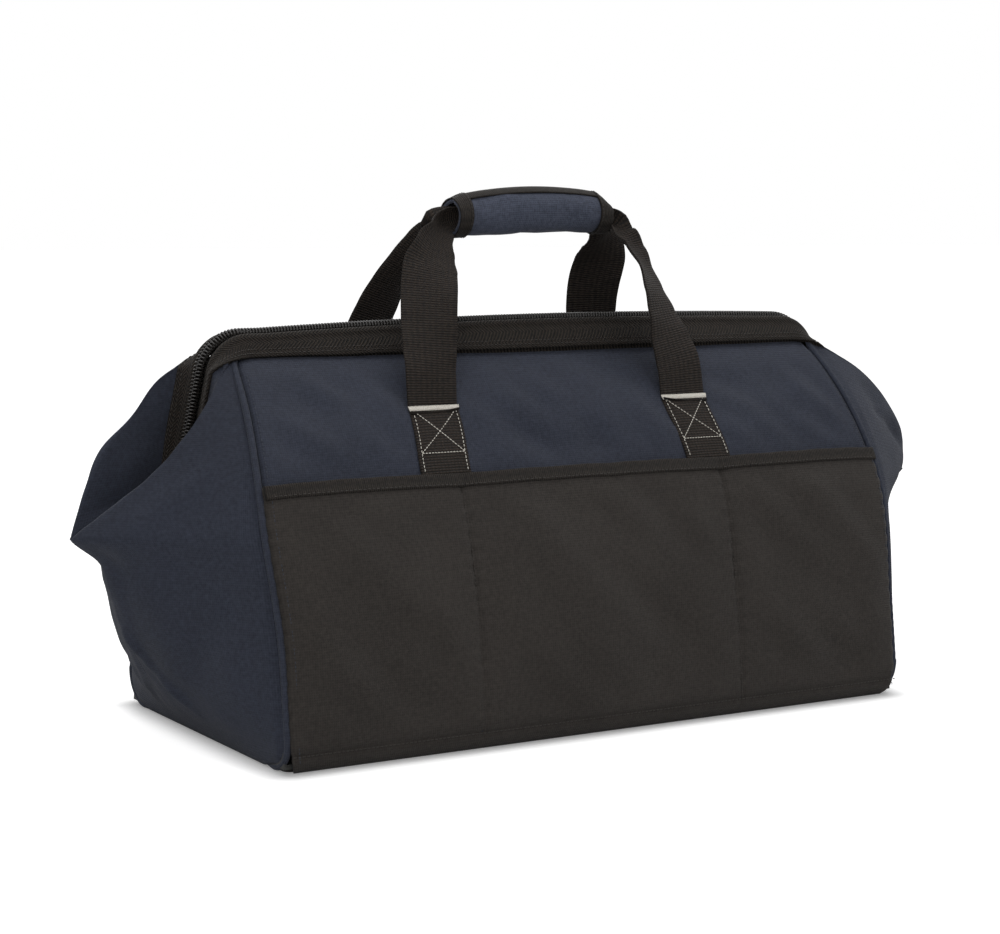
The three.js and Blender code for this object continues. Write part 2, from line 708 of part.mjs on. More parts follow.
function handleStrap(side) {
  const start = wallPoint(side, strapX, strapStartHeight, seatGap + strapThickness / 2);
  const outward = wallPoint(side, strapX, strapStartHeight, 1)
    .sub(wallPoint(side, strapX, strapStartHeight, 0));
  const facing = vec(0, side, 0);
  const gripEnd = gripLength / 2;
  const station = (x, spread, climb, width, thickness) => ({
    at: vec(x, side * spread * strapSpread, lerp(strapStartHeight, gripCentreZ, climb)),
    width,
    thickness,
    normal: facing,
  });
  const half = [
    { at: start, width: strapWidth, thickness: strapThickness, normal: outward },
    station(strapX - 3, 1, 0.32, strapWidth, strapThickness),
    station(strapX - 8, 0.8, 0.56, strapWidth, strapThickness),
    station(strapX - 14, 0.62, 0.74, strapWidth * 0.92, strapThickness),
    station(strapX - 20, 0.44, 0.85, strapWidth * 0.79, strapThickness * 1.25),
    station(gripEnd + 10, 0.2, 0.94, strapWidth * 0.55, strapThickness * 1.6),
    station(gripEnd + 4, 0.11, 0.98, strapInGripWidth, strapInGripThickness),
    { at: vec(gripEnd - 12, side * strapInGripOffset, gripCentreZ), width: strapInGripWidth,
      thickness: strapInGripThickness, normal: facing },
  ];
  const mirrored = half.map((station) => ({
    ...station,
    at: vec(-station.at.x, station.at.y, station.at.z),
  })).reverse();
  return ribbon([...half, ...mirrored]);
}

addMesh('front_handle_strap', handleStrap(-1), blackWebbing);
addMesh('back_handle_strap', handleStrap(1), blackWebbing);

// Grip: a cloth wrap round both straps, its front half a flap that opens along the bottom
const gripArchAt = (x) => gripArch * Math.cos(Math.PI / 2 * Math.min(1, Math.abs(x) * 2 / gripLength));
function gripPoint(x, angle, inward) {
  const lift = Math.max(0, Math.sin(angle)) * gripArchAt(x);
  return vec(x, (gripDepth / 2 - inward) * Math.cos(angle),
    gripCentreZ + (gripHeight / 2 - inward) * Math.sin(angle) + lift);
}

function gripSector(name, degrees, inwardOuter, inwardInner, xRange, meshMaterial) {
  const [from, to] = degrees.map(THREE.MathUtils.degToRad);
  const surface = (inward) => (u, v) =>
    gripPoint(lerp(xRange[0], xRange[1], v), lerp(from, to, u), inward);
  const columns = Math.max(2, Math.round(Math.abs(degrees[1] - degrees[0]) / 18));
  addMesh(name, sheet(surface(inwardOuter), surface(inwardInner), columns, 6), meshMaterial);
}

const gripEnds = [-gripLength / 2, gripLength / 2];
const bindingOuter = -seatGap - bindingThickness;
const flapGap = 0.7;
const wrapAngles = [-90 + flapGap, 90 - flapGap];
const flapAngles = [90 + flapGap, 270 - flapGap];
gripSector('grip_wrap', wrapAngles, 0, gripCloth, gripEnds, navyCloth);
gripSector('grip_flap', flapAngles, 0, gripCloth, gripEnds, navyCloth);
for (const [end, name] of [[-1, 'left'], [1, 'right']]) {
  const edge = end * gripLength / 2;
  const band = [edge - end * gripEndBinding, edge].sort((a, b) => a - b);
  gripSector(`grip_wrap_${name}_binding`, wrapAngles, bindingOuter, -seatGap, band, blackBinding);
  gripSector(`grip_flap_${name}_binding`, flapAngles, bindingOuter, -seatGap, band, blackBinding);
}
const edgeSpan = [-1, 1].map((end) => end * (gripLength / 2 - gripEndBinding - seatGap));
gripSector('grip_flap_edge_binding', [90 + flapGap, 112], bindingOuter, -seatGap, edgeSpan,
  blackBinding);
const closureSpan = [-48, 48];
const closureThickness = 0.8;
const hookInward = gripCloth + seatGap;
const loopInward = hookInward + closureThickness + seatGap;
gripSector('grip_hook_strip', [96, 124], hookInward, hookInward + closureThickness, closureSpan,
  hookLoop);
gripSector('grip_loop_strip', [62, 124], loopInward, loopInward + closureThickness, closureSpan,
  hookLoop);

export default bag;
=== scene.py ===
import math

import bmesh
import bpy
from mathutils import Matrix, Vector, noise


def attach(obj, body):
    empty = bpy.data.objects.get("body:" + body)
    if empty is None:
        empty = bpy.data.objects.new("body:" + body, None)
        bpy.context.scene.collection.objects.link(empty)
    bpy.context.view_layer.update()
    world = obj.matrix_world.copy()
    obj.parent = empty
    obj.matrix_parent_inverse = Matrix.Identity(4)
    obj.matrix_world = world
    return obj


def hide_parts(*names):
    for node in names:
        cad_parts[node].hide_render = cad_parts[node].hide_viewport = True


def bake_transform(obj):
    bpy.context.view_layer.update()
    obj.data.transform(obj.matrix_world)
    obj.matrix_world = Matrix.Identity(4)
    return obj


bl_info = {
    "name": "Zippered tool bag",
    "version": (1, 0, 0),
    "blender": (4, 5, 0),
    "location": "3D View > Sidebar > Tool bag",
    "description": "Dresses the packed tool bag in cloth, webbing, zip and stitching",
    "category": "Add Mesh",
}

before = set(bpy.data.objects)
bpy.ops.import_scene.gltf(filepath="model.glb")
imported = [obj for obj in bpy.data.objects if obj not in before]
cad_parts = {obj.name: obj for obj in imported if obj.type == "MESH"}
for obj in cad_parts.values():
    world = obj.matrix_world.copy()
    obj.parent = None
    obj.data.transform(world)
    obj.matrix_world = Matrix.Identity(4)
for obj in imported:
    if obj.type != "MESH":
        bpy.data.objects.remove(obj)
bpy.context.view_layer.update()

MM = 0.001
SIDES = ((-1, "front"), (1, "back"))
ENDS = ((-1, "left"), (1, "right"))
# Steps in which a track's curve is measured before it is divided evenly
FINE_STEPS = 400
# Radius of the bag's rounded lower edge, and the tighter one of the piping that goes round it
CORNER = 22.0
PIPING_CORNER = CORNER - 2.3
# Height of the middle of the piping under the bag
PIPING_FOOT = 2.3
# How far each end of the walls draws in where the lower edge turns under, as a share of that turn
CORNER_DRAW = 0.45
# How far the front handle is sewn off the middle, toward the left
FRONT_HANDLE_SHIFT = 7.3
# Height of the grip's middle
GRIP_HEIGHT = 345


# Numbers and paths, all in millimetres

def lerp(a, b, share):
    return a + (b - a) * share


def clamp(share):
    return min(1.0, max(0.0, share))


def smooth(value, low, high):
    share = clamp((value - low) / (high - low))
    return share * share * (3 - 2 * share)


def ripple(point, size, seed):
    """Soft noise from -1 to 1 whose folds are about size millimetres apart."""
    return noise.noise(Vector(point) / size + Vector((seed, 2.7 * seed, 0.6 * seed)))


def spline_point(points, share):
    """A point on the smooth line through points, share from 0 to 1."""
    last = len(points) - 1
    place = clamp(share) * last
    index = min(last - 1, int(place))
    t = place - index
    before, start = points[max(0, index - 1)], points[index]
    end, after = points[index + 1], points[min(last, index + 2)]
    bend = 2 * before - 5 * start + 4 * end - after
    return 0.5 * (2 * start + (end - before) * t + bend * t ** 2
                  + (3 * start - before - 3 * end + after) * t ** 3)


class Track:
    """A smooth path whose stations lie at even distances, each with a side and a face direction."""

    def __init__(self, points, face, count=80):
        dense = [spline_point(points, i / FINE_STEPS) for i in range(FINE_STEPS + 1)]
        reach = [0.0]
        for a, b in zip(dense, dense[1:]):
            reach.append(reach[-1] + (b - a).length)
        self.length = reach[-1]
        last = len(points) - 1
        self.marks = [reach[round(i * FINE_STEPS / last)] / self.length for i in range(last + 1)]
        self.points = []
        index = 0
        for i in range(count + 1):
            want = self.length * i / count
            while index < FINE_STEPS - 1 and reach[index + 1] < want:
                index += 1
            span = max(1e-9, reach[index + 1] - reach[index])
            self.points.append(dense[index].lerp(dense[index + 1], (want - reach[index]) / span))
        self.face = face

    def value(self, values, share):
        """A number given at each of the track's own points, read in between them."""
        for i, (low, high) in enumerate(zip(self.marks, self.marks[1:])):
            if share <= high or i == len(self.marks) - 2:
                return lerp(values[i], values[i + 1], smooth(share, low, high))

    def at(self, share):
        place = clamp(share) * (len(self.points) - 1)
        index = min(len(self.points) - 2, int(place))
        point = self.points[index].lerp(self.points[index + 1], place - index)
        before = self.points[max(0, index - 1)]
        after = self.points[min(len(self.points) - 1, index + 2)]
        along = (after - before).normalized()
        face = self.face(self, share) if callable(self.face) else self.face
        side = along.cross(face).normalized()
        return point, along, side, side.cross(along).normalized()


class Form:
    """The bag's surfaces, worked out from the sizes in the panel."""

    def __init__(self):
        sizes = bpy.context.scene.bag_sizes
        self.half_length = sizes.bag_length / MM / 2
        self.base_half = sizes.base_depth / MM / 2
        self.panel_top = sizes.panel_top / MM
        self.mouth_half = sizes.mouth_half / MM
        self.pocket_top = sizes.pocket_top / MM
        self.divider = sizes.divider_place / MM
        self.pocket_depth = sizes.pocket_depth / MM
        self.piping = sizes.piping_radius / MM
        self.strap_width = sizes.strap_width / MM
        self.strap_x = sizes.strap_place / MM
        self.zip_height = sizes.zip_height / MM
        self.zip_corner_x = sizes.zip_corner / MM
        self.tooth_pitch = sizes.tooth_pitch / MM
        self.grip_length = sizes.grip_length / MM
        self.leg_tilt = math.radians(11.6)
        self.corner_radius = 30.0
        self.turn = math.pi / 2 - self.leg_tilt
        self.arc_start = self.zip_corner_x - self.corner_radius * math.tan(self.turn / 2)
        self.arc_length = self.corner_radius * self.turn
        self.rod_offset = 12.0
        self.rod_drop = 4.0
        self.hinge_height = 146.0
        self.beak_height = 142.0
        self.strap_foot_x = self.strap_x + 4.5
        self.tack_height = self.panel_top - 38.0

    def wall_half(self, z):
        share = z / self.panel_top
        drop = 0.31 * share + 0.69 * share ** 4 if share > 0 else 0.31 * share
        return self.mouth_half + (self.base_half - self.mouth_half) * (1 - drop)

    def wall_end(self, z):
        share = max(0.0, (z - 150) / (self.panel_top - 150))
        return self.half_length - 4 * (1 - smooth(z, 70, 150)) - 14 * share ** 1.5

    def wall_point(self, side, x, z, offset):
        slope = self.wall_half(z + 0.5) - self.wall_half(z - 0.5)
        length = math.hypot(1, slope)
        depth = self.wall_half(z) + offset / length
        return Vector((x, side * depth, z - offset * slope / length))

    def wall_normal(self, side, z):
        slope = self.wall_half(z + 0.5) - self.wall_half(z - 0.5)
        return Vector((0, side, -slope)).normalized()

    def pocket_lift(self, x, z):
        """How far the pocket cloth stands off the wall: slack between the divider seams."""
        edges = (-self.wall_end(z) - 1, -self.divider, self.divider, self.wall_end(z) + 1)
        for low, high in zip(edges, edges[1:]):
            if x <= high + 1e-6:
                across = clamp((x - low) / (high - low))
                swell = math.sin(math.pi * across) ** 0.6
                fill = smooth(z, 12, 70) * (1 - 0.25 * smooth(z, 110, self.pocket_top))
                return 0.9 + self.pocket_depth * swell * fill
        return 0.9

    def mouth_station(self, distance, drop):
        """A place on the zip's line, lowered by drop, with its turn and its share of the corner."""
        far = abs(distance)
        past = min(max(far - self.arc_start, 0.0), self.arc_length)
        angle = past / self.corner_radius
        radius = self.corner_radius - drop
        x = min(far, self.arc_start) + radius * math.sin(angle)
        z = self.zip_height - self.corner_radius + radius * math.cos(angle)
        leg = max(0.0, far - self.arc_start - self.arc_length)
        x += leg * math.cos(self.turn)
        z -= leg * math.sin(self.turn)
        end = 1 if distance >= 0 else -1
        return end * x, z, end * angle, past / self.arc_length

    def crown(self, distance, drop):
        """How much higher the zip's top run stands near its middle than at its ends."""
        x, _, _, share = self.mouth_station(distance, drop)
        return 5.4 * max(0.0, 1 - ((x - 45) / 255) ** 2) * (1 - share)

    def mouth_point(self, side, distance, drop, away, rise):
        x, z, angle, _ = self.mouth_station(distance, drop)
        return Vector((x + rise * math.sin(angle), side * away, z + rise * math.cos(angle)))

    def sleeve_point(self, side, distance, along, out, lift=0.0):
        """A place on the mouth's webbing, which leans down the wall on top and out along the legs:
        so far along it from the rod, out from its middle, and lifted."""
        lean = math.radians(lerp(-52, 24, self.mouth_station(distance, self.rod_drop)[3] ** 2))
        away = self.rod_offset + along * math.cos(lean) - out * math.sin(lean)
        rise = along * math.sin(lean) + out * math.cos(lean)
        return self.mouth_point(side, distance, self.rod_drop, away, rise + lift)

    def mouth_reach(self, height):
        """The distance from the zip's middle at which its leg comes down to height."""
        start = self.zip_height - self.corner_radius + self.corner_radius * math.cos(self.turn)
        return self.arc_start + self.arc_length + (start - height) / math.sin(self.turn)

    def hinge_x(self):
        x, z, _, _ = self.mouth_station(self.mouth_reach(166), self.rod_drop)
        return x + (z - self.hinge_height) * math.tan(self.leg_tilt)


# Meshes

def grid_mesh(columns, rows, place, uv_size=(1.0, 1.0), wrap=False, caps=False):
    """A grid of cells, each corner set by place(u, v); wrap joins its two long edges to a tube."""
    bm = bmesh.new()
    uv_layer = bm.loops.layers.uv.new("UVMap")
    bmesh.ops.create_grid(bm, x_segments=columns, y_segments=rows, size=0.5)
    for face in bm.faces:
        for loop in face.loops:
            corner = loop.vert.co
            loop[uv_layer].uv = ((corner.x + 0.5) * uv_size[0] * MM,
                                 (corner.y + 0.5) * uv_size[1] * MM)
    for vert in bm.verts:
        vert.co = place(clamp(vert.co.x + 0.5), clamp(vert.co.y + 0.5)) * MM
    if wrap:
        bmesh.ops.remove_doubles(bm, verts=bm.verts, dist=1e-6)
        if caps:
            bmesh.ops.holes_fill(bm, edges=bm.edges, sides=0)
            bmesh.ops.recalc_face_normals(bm, faces=bm.faces)
    return bm


def facing(bm, outward):
    """Turns an open surface so that its faces look the way outward(centre) points."""
    bm.normal_update()
    votes = sum(1 if face.normal.dot(outward(face.calc_center_median() / MM)) > 0 else -1
                for face in bm.faces)
    if votes < 0:
        bmesh.ops.reverse_faces(bm, faces=bm.faces)
    bm.normal_update()
    return bm


def push(bm, amount):
    """Moves each point along its normal by amount(point), in millimetres."""
    bm.normal_update()
    moves = [(vert, vert.normal * amount(vert.co / MM) * MM) for vert in bm.verts]
    for vert, move in moves:
        vert.co += move
    return bm


def sweep_mesh(track, section, columns, rows, uv_width):
    """A closed bar along a track; section(u, v) gives its outline across and up."""
    def place(u, v):
        point, _, side, up = track.at(v)
        across, rise = section(u, v)
        return point + side * across + up * rise
    return grid_mesh(columns, rows, place, (uv_width, track.length), wrap=True, caps=True)


def round_section(radius):
    return lambda u, v: (radius * math.cos(2 * math.pi * u), radius * math.sin(2 * math.pi * u))


def outline_point(points, share):
    """A point at an even share round a closed outline."""
    lengths = [math.dist(a, b) for a, b in zip(points, points[1:] + points[:1])]
    want = (share % 1.0) * sum(lengths)
    for start, end, length in zip(points, points[1:] + points[:1], lengths):
        if want <= length:
            part = want / max(length, 1e-9)
            return lerp(start[0], end[0], part), lerp(start[1], end[1], part)
        want -= length
    return points[0]


def join_mesh(target, source):
    """Adds the faces of source to target and frees source."""
    mesh = bpy.data.meshes.new("joining")
    source.to_mesh(mesh)
    source.free()
    target.from_mesh(mesh)
    bpy.data.meshes.remove(mesh)
    return target


def stitch_mesh(stitches, length, radius):
    """Short thread loops: each of stitches is a centre, the way it runs and the way it faces."""
    bm = bmesh.new()
    for centre, along, face in stitches:
        along = along.normalized()
        side = along.cross(face).normalized()
        up = side.cross(along)
        turn = Matrix((along * length / 2, side * radius, up * radius)).transposed().to_4x4()
        matrix = Matrix.Translation(centre * MM) @ turn
        bmesh.ops.create_uvsphere(bm, u_segments=6, v_segments=4, radius=MM,
                                  matrix=matrix @ Matrix.Rotation(math.pi / 2, 4, "Y"))
    return bm


def run_of(point_at, face_at, count):
    """Stitches one after another along point_at(share)."""
    stitches = []
    for i in range(count):
        start, end = point_at((i + 0.12) / count), point_at((i + 0.88) / count)
        stitches.append(((start + end) / 2, end - start, face_at((i + 0.5) / count)))
    return stitches


def piece(name, bm, material, nodes=(), body=None, blend=None, cloth=0.0):
    """Makes the mesh a named object, gives it its finish, and ties it to its CAD body; a piece
    given blend is only fixed where it stands, tied to no body.
    A surface of cloth gets its real thickness, in millimetres, grown inward."""
    mesh = bpy.data.meshes.new(name)
    bm.to_mesh(mesh)
    bm.free()
    mesh.polygons.foreach_set("use_smooth", [True] * len(mesh.polygons))
    mesh.materials.append(bpy.data.materials[material])
    obj = bpy.data.objects.new(name, mesh)
    bpy.context.scene.collection.objects.link(obj)
    if cloth:
        layer = obj.modifiers.new("cloth thickness", "SOLIDIFY")
        layer.thickness = cloth * MM
        layer.offset = -1
    if blend:
        start, end = ([c * MM for c in corner] for corner in blend[2:])
        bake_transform(obj)
        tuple(start)
        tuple(end)
    else:
        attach(obj, body)
    if nodes:
        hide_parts(*nodes)
    return obj


# Materials

def linear(hex_colour):
    """An sRGB hex colour as linear red, green, blue and alpha."""
    channels = [int(hex_colour[i:i + 2], 16) / 255 for i in (1, 3, 5)]
    return [c / 12.92 if c <= 0.04045 else ((c + 0.055) / 1.055) ** 2.4 for c in channels] + [1.0]


def add_node(tree, kind, settings=(), values=(), links=()):
    """Adds a node, sets its settings and input values, and links (input, output socket) pairs."""
    node = tree.nodes.new(kind)
    for key, value in dict(settings).items():
        setattr(node, key, value)
    for key, value in dict(values).items():
        node.inputs[key].default_value = value
    for key, socket in dict(links).items():
        tree.links.new(socket, node.inputs[key])
    return node


def new_material(name, roughness, metallic=0.0, ior=1.5):
    """An empty finish: its tree, its shader and its output."""
    material = bpy.data.materials.new(name)
    material.use_nodes = True
    tree = material.node_tree
    tree.nodes.clear()
    shader = add_node(tree, "ShaderNodeBsdfPrincipled", values={
        "Roughness": roughness, "Metallic": metallic, "IOR": ior})
    add_node(tree, "ShaderNodeOutputMaterial", links={"Surface": shader.outputs["BSDF"]})
    return tree, shader


def wave(tree, coordinate, pitch_mm, direction):
    """Straight ridges that are pitch_mm apart, on a coordinate in metres."""
    return add_node(tree, "ShaderNodeTexWave",
                    settings={"wave_type": "BANDS", "bands_direction": direction,
                              "wave_profile": "SIN"},
                    values={"Scale": 2 * math.pi / 20 / (pitch_mm * MM), "Distortion": 0.0},
                    links={"Vector": coordinate}).outputs["Fac"]


def math_node(tree, operation, first, second):
    """One sum on sockets or numbers."""
    node = add_node(tree, "ShaderNodeMath", settings={"operation": operation})
    for socket, value in zip(node.inputs, (first, second)):
        if isinstance(value, (int, float)):
            socket.default_value = value
        else:
            tree.links.new(value, socket)
    return node.outputs[0]


def tone(tree, shader, height, dark, lit, low=0.0, high=1.0):
    """Colours the surface from dark in its grooves to lit on its ridges."""
    ramp = add_node(tree, "ShaderNodeMapRange", values={"From Min": low, "From Max": high},
                    links={"Value": height})
    mix = add_node(tree, "ShaderNodeMix", settings={"data_type": "RGBA"},
                   links={"Factor": ramp.outputs["Result"]})
    mix.inputs["A"].default_value = linear(dark)
    mix.inputs["B"].default_value = linear(lit)
    tree.links.new(mix.outputs["Result"], shader.inputs["Base Color"])


def bump(tree, shader, height, depth_mm, strength):
    node = add_node(tree, "ShaderNodeBump", links={"Height": height},
                    values={"Strength": strength, "Distance": depth_mm * MM})
    tree.links.new(node.outputs["Normal"], shader.inputs["Normal"])


def plain_weave(name, dark, lit, pitch_mm, sheen):
    """600D polyester, plain woven and dyed: matt, a fine over and under grid of flat yarns, with
    a few slubs and slightly paler, rubbed patches. Its 0.6 mm yarns are drawn at pitch_mm, so
    that they show."""
    tree, shader = new_material(name, 0.82)
    shader.inputs["Sheen Weight"].default_value = sheen
    shader.inputs["Sheen Roughness"].default_value = 0.5
    shader.inputs["Specular IOR Level"].default_value = 0.35
    coordinate = add_node(tree, "ShaderNodeTexCoord").outputs
    warp = wave(tree, coordinate["UV"], 2 * pitch_mm, "X")
    weft = wave(tree, coordinate["UV"], 2 * pitch_mm, "Y")
    checks = add_node(tree, "ShaderNodeTexChecker", values={"Scale": 1 / (pitch_mm * MM)},
                      links={"Vector": coordinate["UV"]}).outputs["Fac"]
    yarns = add_node(tree, "ShaderNodeMix", links={"Factor": checks, "A": warp, "B": weft})
    slubs = add_node(tree, "ShaderNodeTexNoise", values={"Scale": 420.0, "Detail": 3.0},
                     links={"Vector": coordinate["Object"]}).outputs["Fac"]
    rubbed = add_node(tree, "ShaderNodeTexNoise", values={"Scale": 14.0, "Detail": 5.0},
                      links={"Vector": coordinate["Object"]}).outputs["Fac"]
    shade = math_node(tree, "MULTIPLY", yarns.outputs["Result"], 0.3)
    shade = math_node(tree, "ADD", shade, math_node(tree, "MULTIPLY", slubs, 0.9))
    shade = math_node(tree, "ADD", shade, math_node(tree, "MULTIPLY", rubbed, 0.4))
    tone(tree, shader, shade, dark, lit, 0.5, 1.15)
    height = math_node(tree, "ADD", yarns.outputs["Result"],
                       math_node(tree, "MULTIPLY", slubs, 0.8))
    bump(tree, shader, height, 0.26, 0.6)


def ribbed_tape(name, dark, lit, rib_mm, column_mm):
    """Woven polypropylene webbing or grosgrain: dull, with weft ribs across it and faint columns
    along it. Its ribs are drawn at their real pitch and its columns a little coarser."""
    tree, shader = new_material(name, 0.76)
    shader.inputs["Specular IOR Level"].default_value = 0.28
    coordinate = add_node(tree, "ShaderNodeTexCoord").outputs
    ribs = wave(tree, coordinate["UV"], rib_mm, "Y")
    columns = wave(tree, coordinate["UV"], column_mm, "X")
    fuzz = add_node(tree, "ShaderNodeTexNoise", values={"Scale": 500.0, "Detail": 3.0},
                    links={"Vector": coordinate["Object"]}).outputs["Fac"]
    height = math_node(tree, "MULTIPLY", ribs, math_node(tree, "ADD", columns, 0.6))
    shade = math_node(tree, "ADD", math_node(tree, "MULTIPLY", height, 0.5), fuzz)
    tone(tree, shader, shade, dark, lit, 0.45, 1.3)
    rough = math_node(tree, "ADD", height, math_node(tree, "MULTIPLY", fuzz, 0.5))
    bump(tree, shader, rough, 0.5, 0.9)


def herringbone_tape(name, dark, lit, twill_mm, column_mm):
    """Herringbone webbing: diagonal twill lines that turn back in columns, which catch the light
    in alternate stripes along the mouth's edge."""
    tree, shader = new_material(name, 0.72)
    shader.inputs["Specular IOR Level"].default_value = 0.22
    coordinate = add_node(tree, "ShaderNodeTexCoord").outputs
    parts = add_node(tree, "ShaderNodeSeparateXYZ", links={"Vector": coordinate["UV"]}).outputs
    turns = math_node(tree, "PINGPONG", parts["X"], column_mm * MM)
    slant = math_node(tree, "ADD", parts["Y"], turns)
    line = add_node(tree, "ShaderNodeCombineXYZ", links={"X": slant}).outputs["Vector"]
    height = wave(tree, line, twill_mm, "X")
    fuzz = add_node(tree, "ShaderNodeTexNoise", values={"Scale": 450.0, "Detail": 3.0},
                    links={"Vector": coordinate["Object"]}).outputs["Fac"]
    shade = math_node(tree, "ADD", math_node(tree, "MULTIPLY", height, 0.7), fuzz)
    tone(tree, shader, shade, dark, lit, 0.5, 1.25)
    bump(tree, shader, height, 0.8, 1.0)


def smooth_solid(name, dark, lit, roughness, metallic, scale, depth_mm, ior=1.5):
    """A moulded, drawn, plated or spun solid: even colour, with fine marks from how it was made."""
    tree, shader = new_material(name, roughness, metallic, ior)
    coordinate = add_node(tree, "ShaderNodeTexCoord").outputs
    marks = add_node(tree, "ShaderNodeTexNoise", values={"Scale": scale, "Detail": 4.0},
                     links={"Vector": coordinate["Object"]}).outputs["Fac"]
    tone(tree, shader, marks, dark, lit, 0.3, 0.7)
    spread = add_node(tree, "ShaderNodeMapRange", values={
        "From Min": 0.3, "From Max": 0.7, "To Min": roughness - 0.06, "To Max": roughness + 0.06},
        links={"Value": marks})
    tree.links.new(spread.outputs["Result"], shader.inputs["Roughness"])
    bump(tree, shader, marks, depth_mm, 0.5)


def make_materials():
    colours = bpy.context.scene.bag_colours
    # Dyed cloth: deep blue-grey, dull, a fine grid of yarns
    plain_weave("woven_navy_polyester", colours.navy_shade, colours.navy, 0.8, 0.06)
    # The grip's cloth: the same weave, painted paler and greyer than the navy as painted light, for
    # the light the grip catches on top of the bag
    plain_weave("woven_slate_polyester", "#363b48", "#5a6073", 0.8, 0.06)
    # The same cloth in a warm black
    plain_weave("woven_black_polyester", colours.black_shade, colours.black, 0.8, 0.05)
    # Handle webbing: close ribs across, faint columns along
    ribbed_tape("woven_polypropylene_webbing", "#0a0706", "#3a312a", 1.7, 2.6)
    # Ribbon folded over the cut edges: fine ribs square to the edge
    ribbed_tape("grosgrain_ribbon", "#100d0b", "#3d3732", 1.5, 7.0)
    # Wide band along the mouth: a slanted twill that turns back and forth
    herringbone_tape("herringbone_webbing", "#060504", "#37302a", 2.7, 6.4)
    # Zip tape: the same ribbon, thinner
    ribbed_tape("woven_zip_tape", "#100e0c", "#2b2724", 1.2, 2.5)
    # Coil: drawn nylon wire with a soft gloss
    smooth_solid("nylon_monofilament", "#1a1817", "#35312e", 0.3, 0.0, 900.0, 0.05, 1.53)
    # Sewing thread: bonded polyester, slightly glossy, undyed, black or navy
    smooth_solid("undyed_polyester_thread", "#dcd4c6", "#fffcf4", 0.5, 0.0, 1500.0, 0.1)
    smooth_solid("black_polyester_thread", "#14110f", "#3a332e", 0.5, 0.0, 1500.0, 0.1)
    smooth_solid("navy_polyester_thread", "#1a1e29", "#363c4b", 0.5, 0.0, 1500.0, 0.1)
    # Frame rods: drawn and zinc plated steel wire
    smooth_solid("zinc_plated_steel", "#8f9294", "#b9bcbe", 0.32, 1.0, 600.0, 0.03)
    # Slider, pull and stops: die-cast zinc with black paint
    smooth_solid("black_painted_zinc", "#131313", "#232323", 0.38, 0.0, 700.0, 0.04, 1.5)
    # Base board and end stiffeners: calendered polypropylene sheet
    smooth_solid("polypropylene_board", "#2f2f2e", "#3d3d3b", 0.55, 0.0, 260.0, 0.05, 1.49)
    # Hook and loop strips: knitted nylon pile
    smooth_solid("nylon_hook_and_loop", "#141416", "#2e2e31", 0.9, 0.0, 1400.0, 0.5)


class Bag_OT_materials(bpy.types.Operator):
    """Makes the finishes and gives the frame's rigid parts theirs."""
    bl_idname = "bag.materials"
    bl_label = "Finishes and rigid parts"

    def execute(self, context):
        make_materials()
        finishes = {
            "steel_wire": "zinc_plated_steel",
            "black_metal": "black_painted_zinc",
            "stiff_board": "polypropylene_board",
        }
        rigid = {
            "base_board": "stiff_board",
            "left_end_stiffener": "stiff_board", "right_end_stiffener": "stiff_board",
            "front_frame_rod": "steel_wire", "back_frame_rod": "steel_wire",
            "left_frame_rivet": "steel_wire", "right_frame_rivet": "steel_wire",
            "left_zip_stop": "black_metal", "right_zip_stop": "black_metal",
            "zip_slider": "black_metal", "zip_pull": "black_metal",
        }
        for node, slot in rigid.items():
            for material_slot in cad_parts[node].material_slots:
                material_slot.link = "OBJECT"
                material_slot.material = bpy.data.materials[finishes[slot]]
        return {"FINISHED"}


# Pieces of the body

def turned_in(z, radius):
    """How far a rounded lower edge has turned in under the bag at a height near the floor."""
    drop = max(0.0, CORNER - z)
    return radius - math.sqrt(max(0.0, radius ** 2 - drop ** 2))


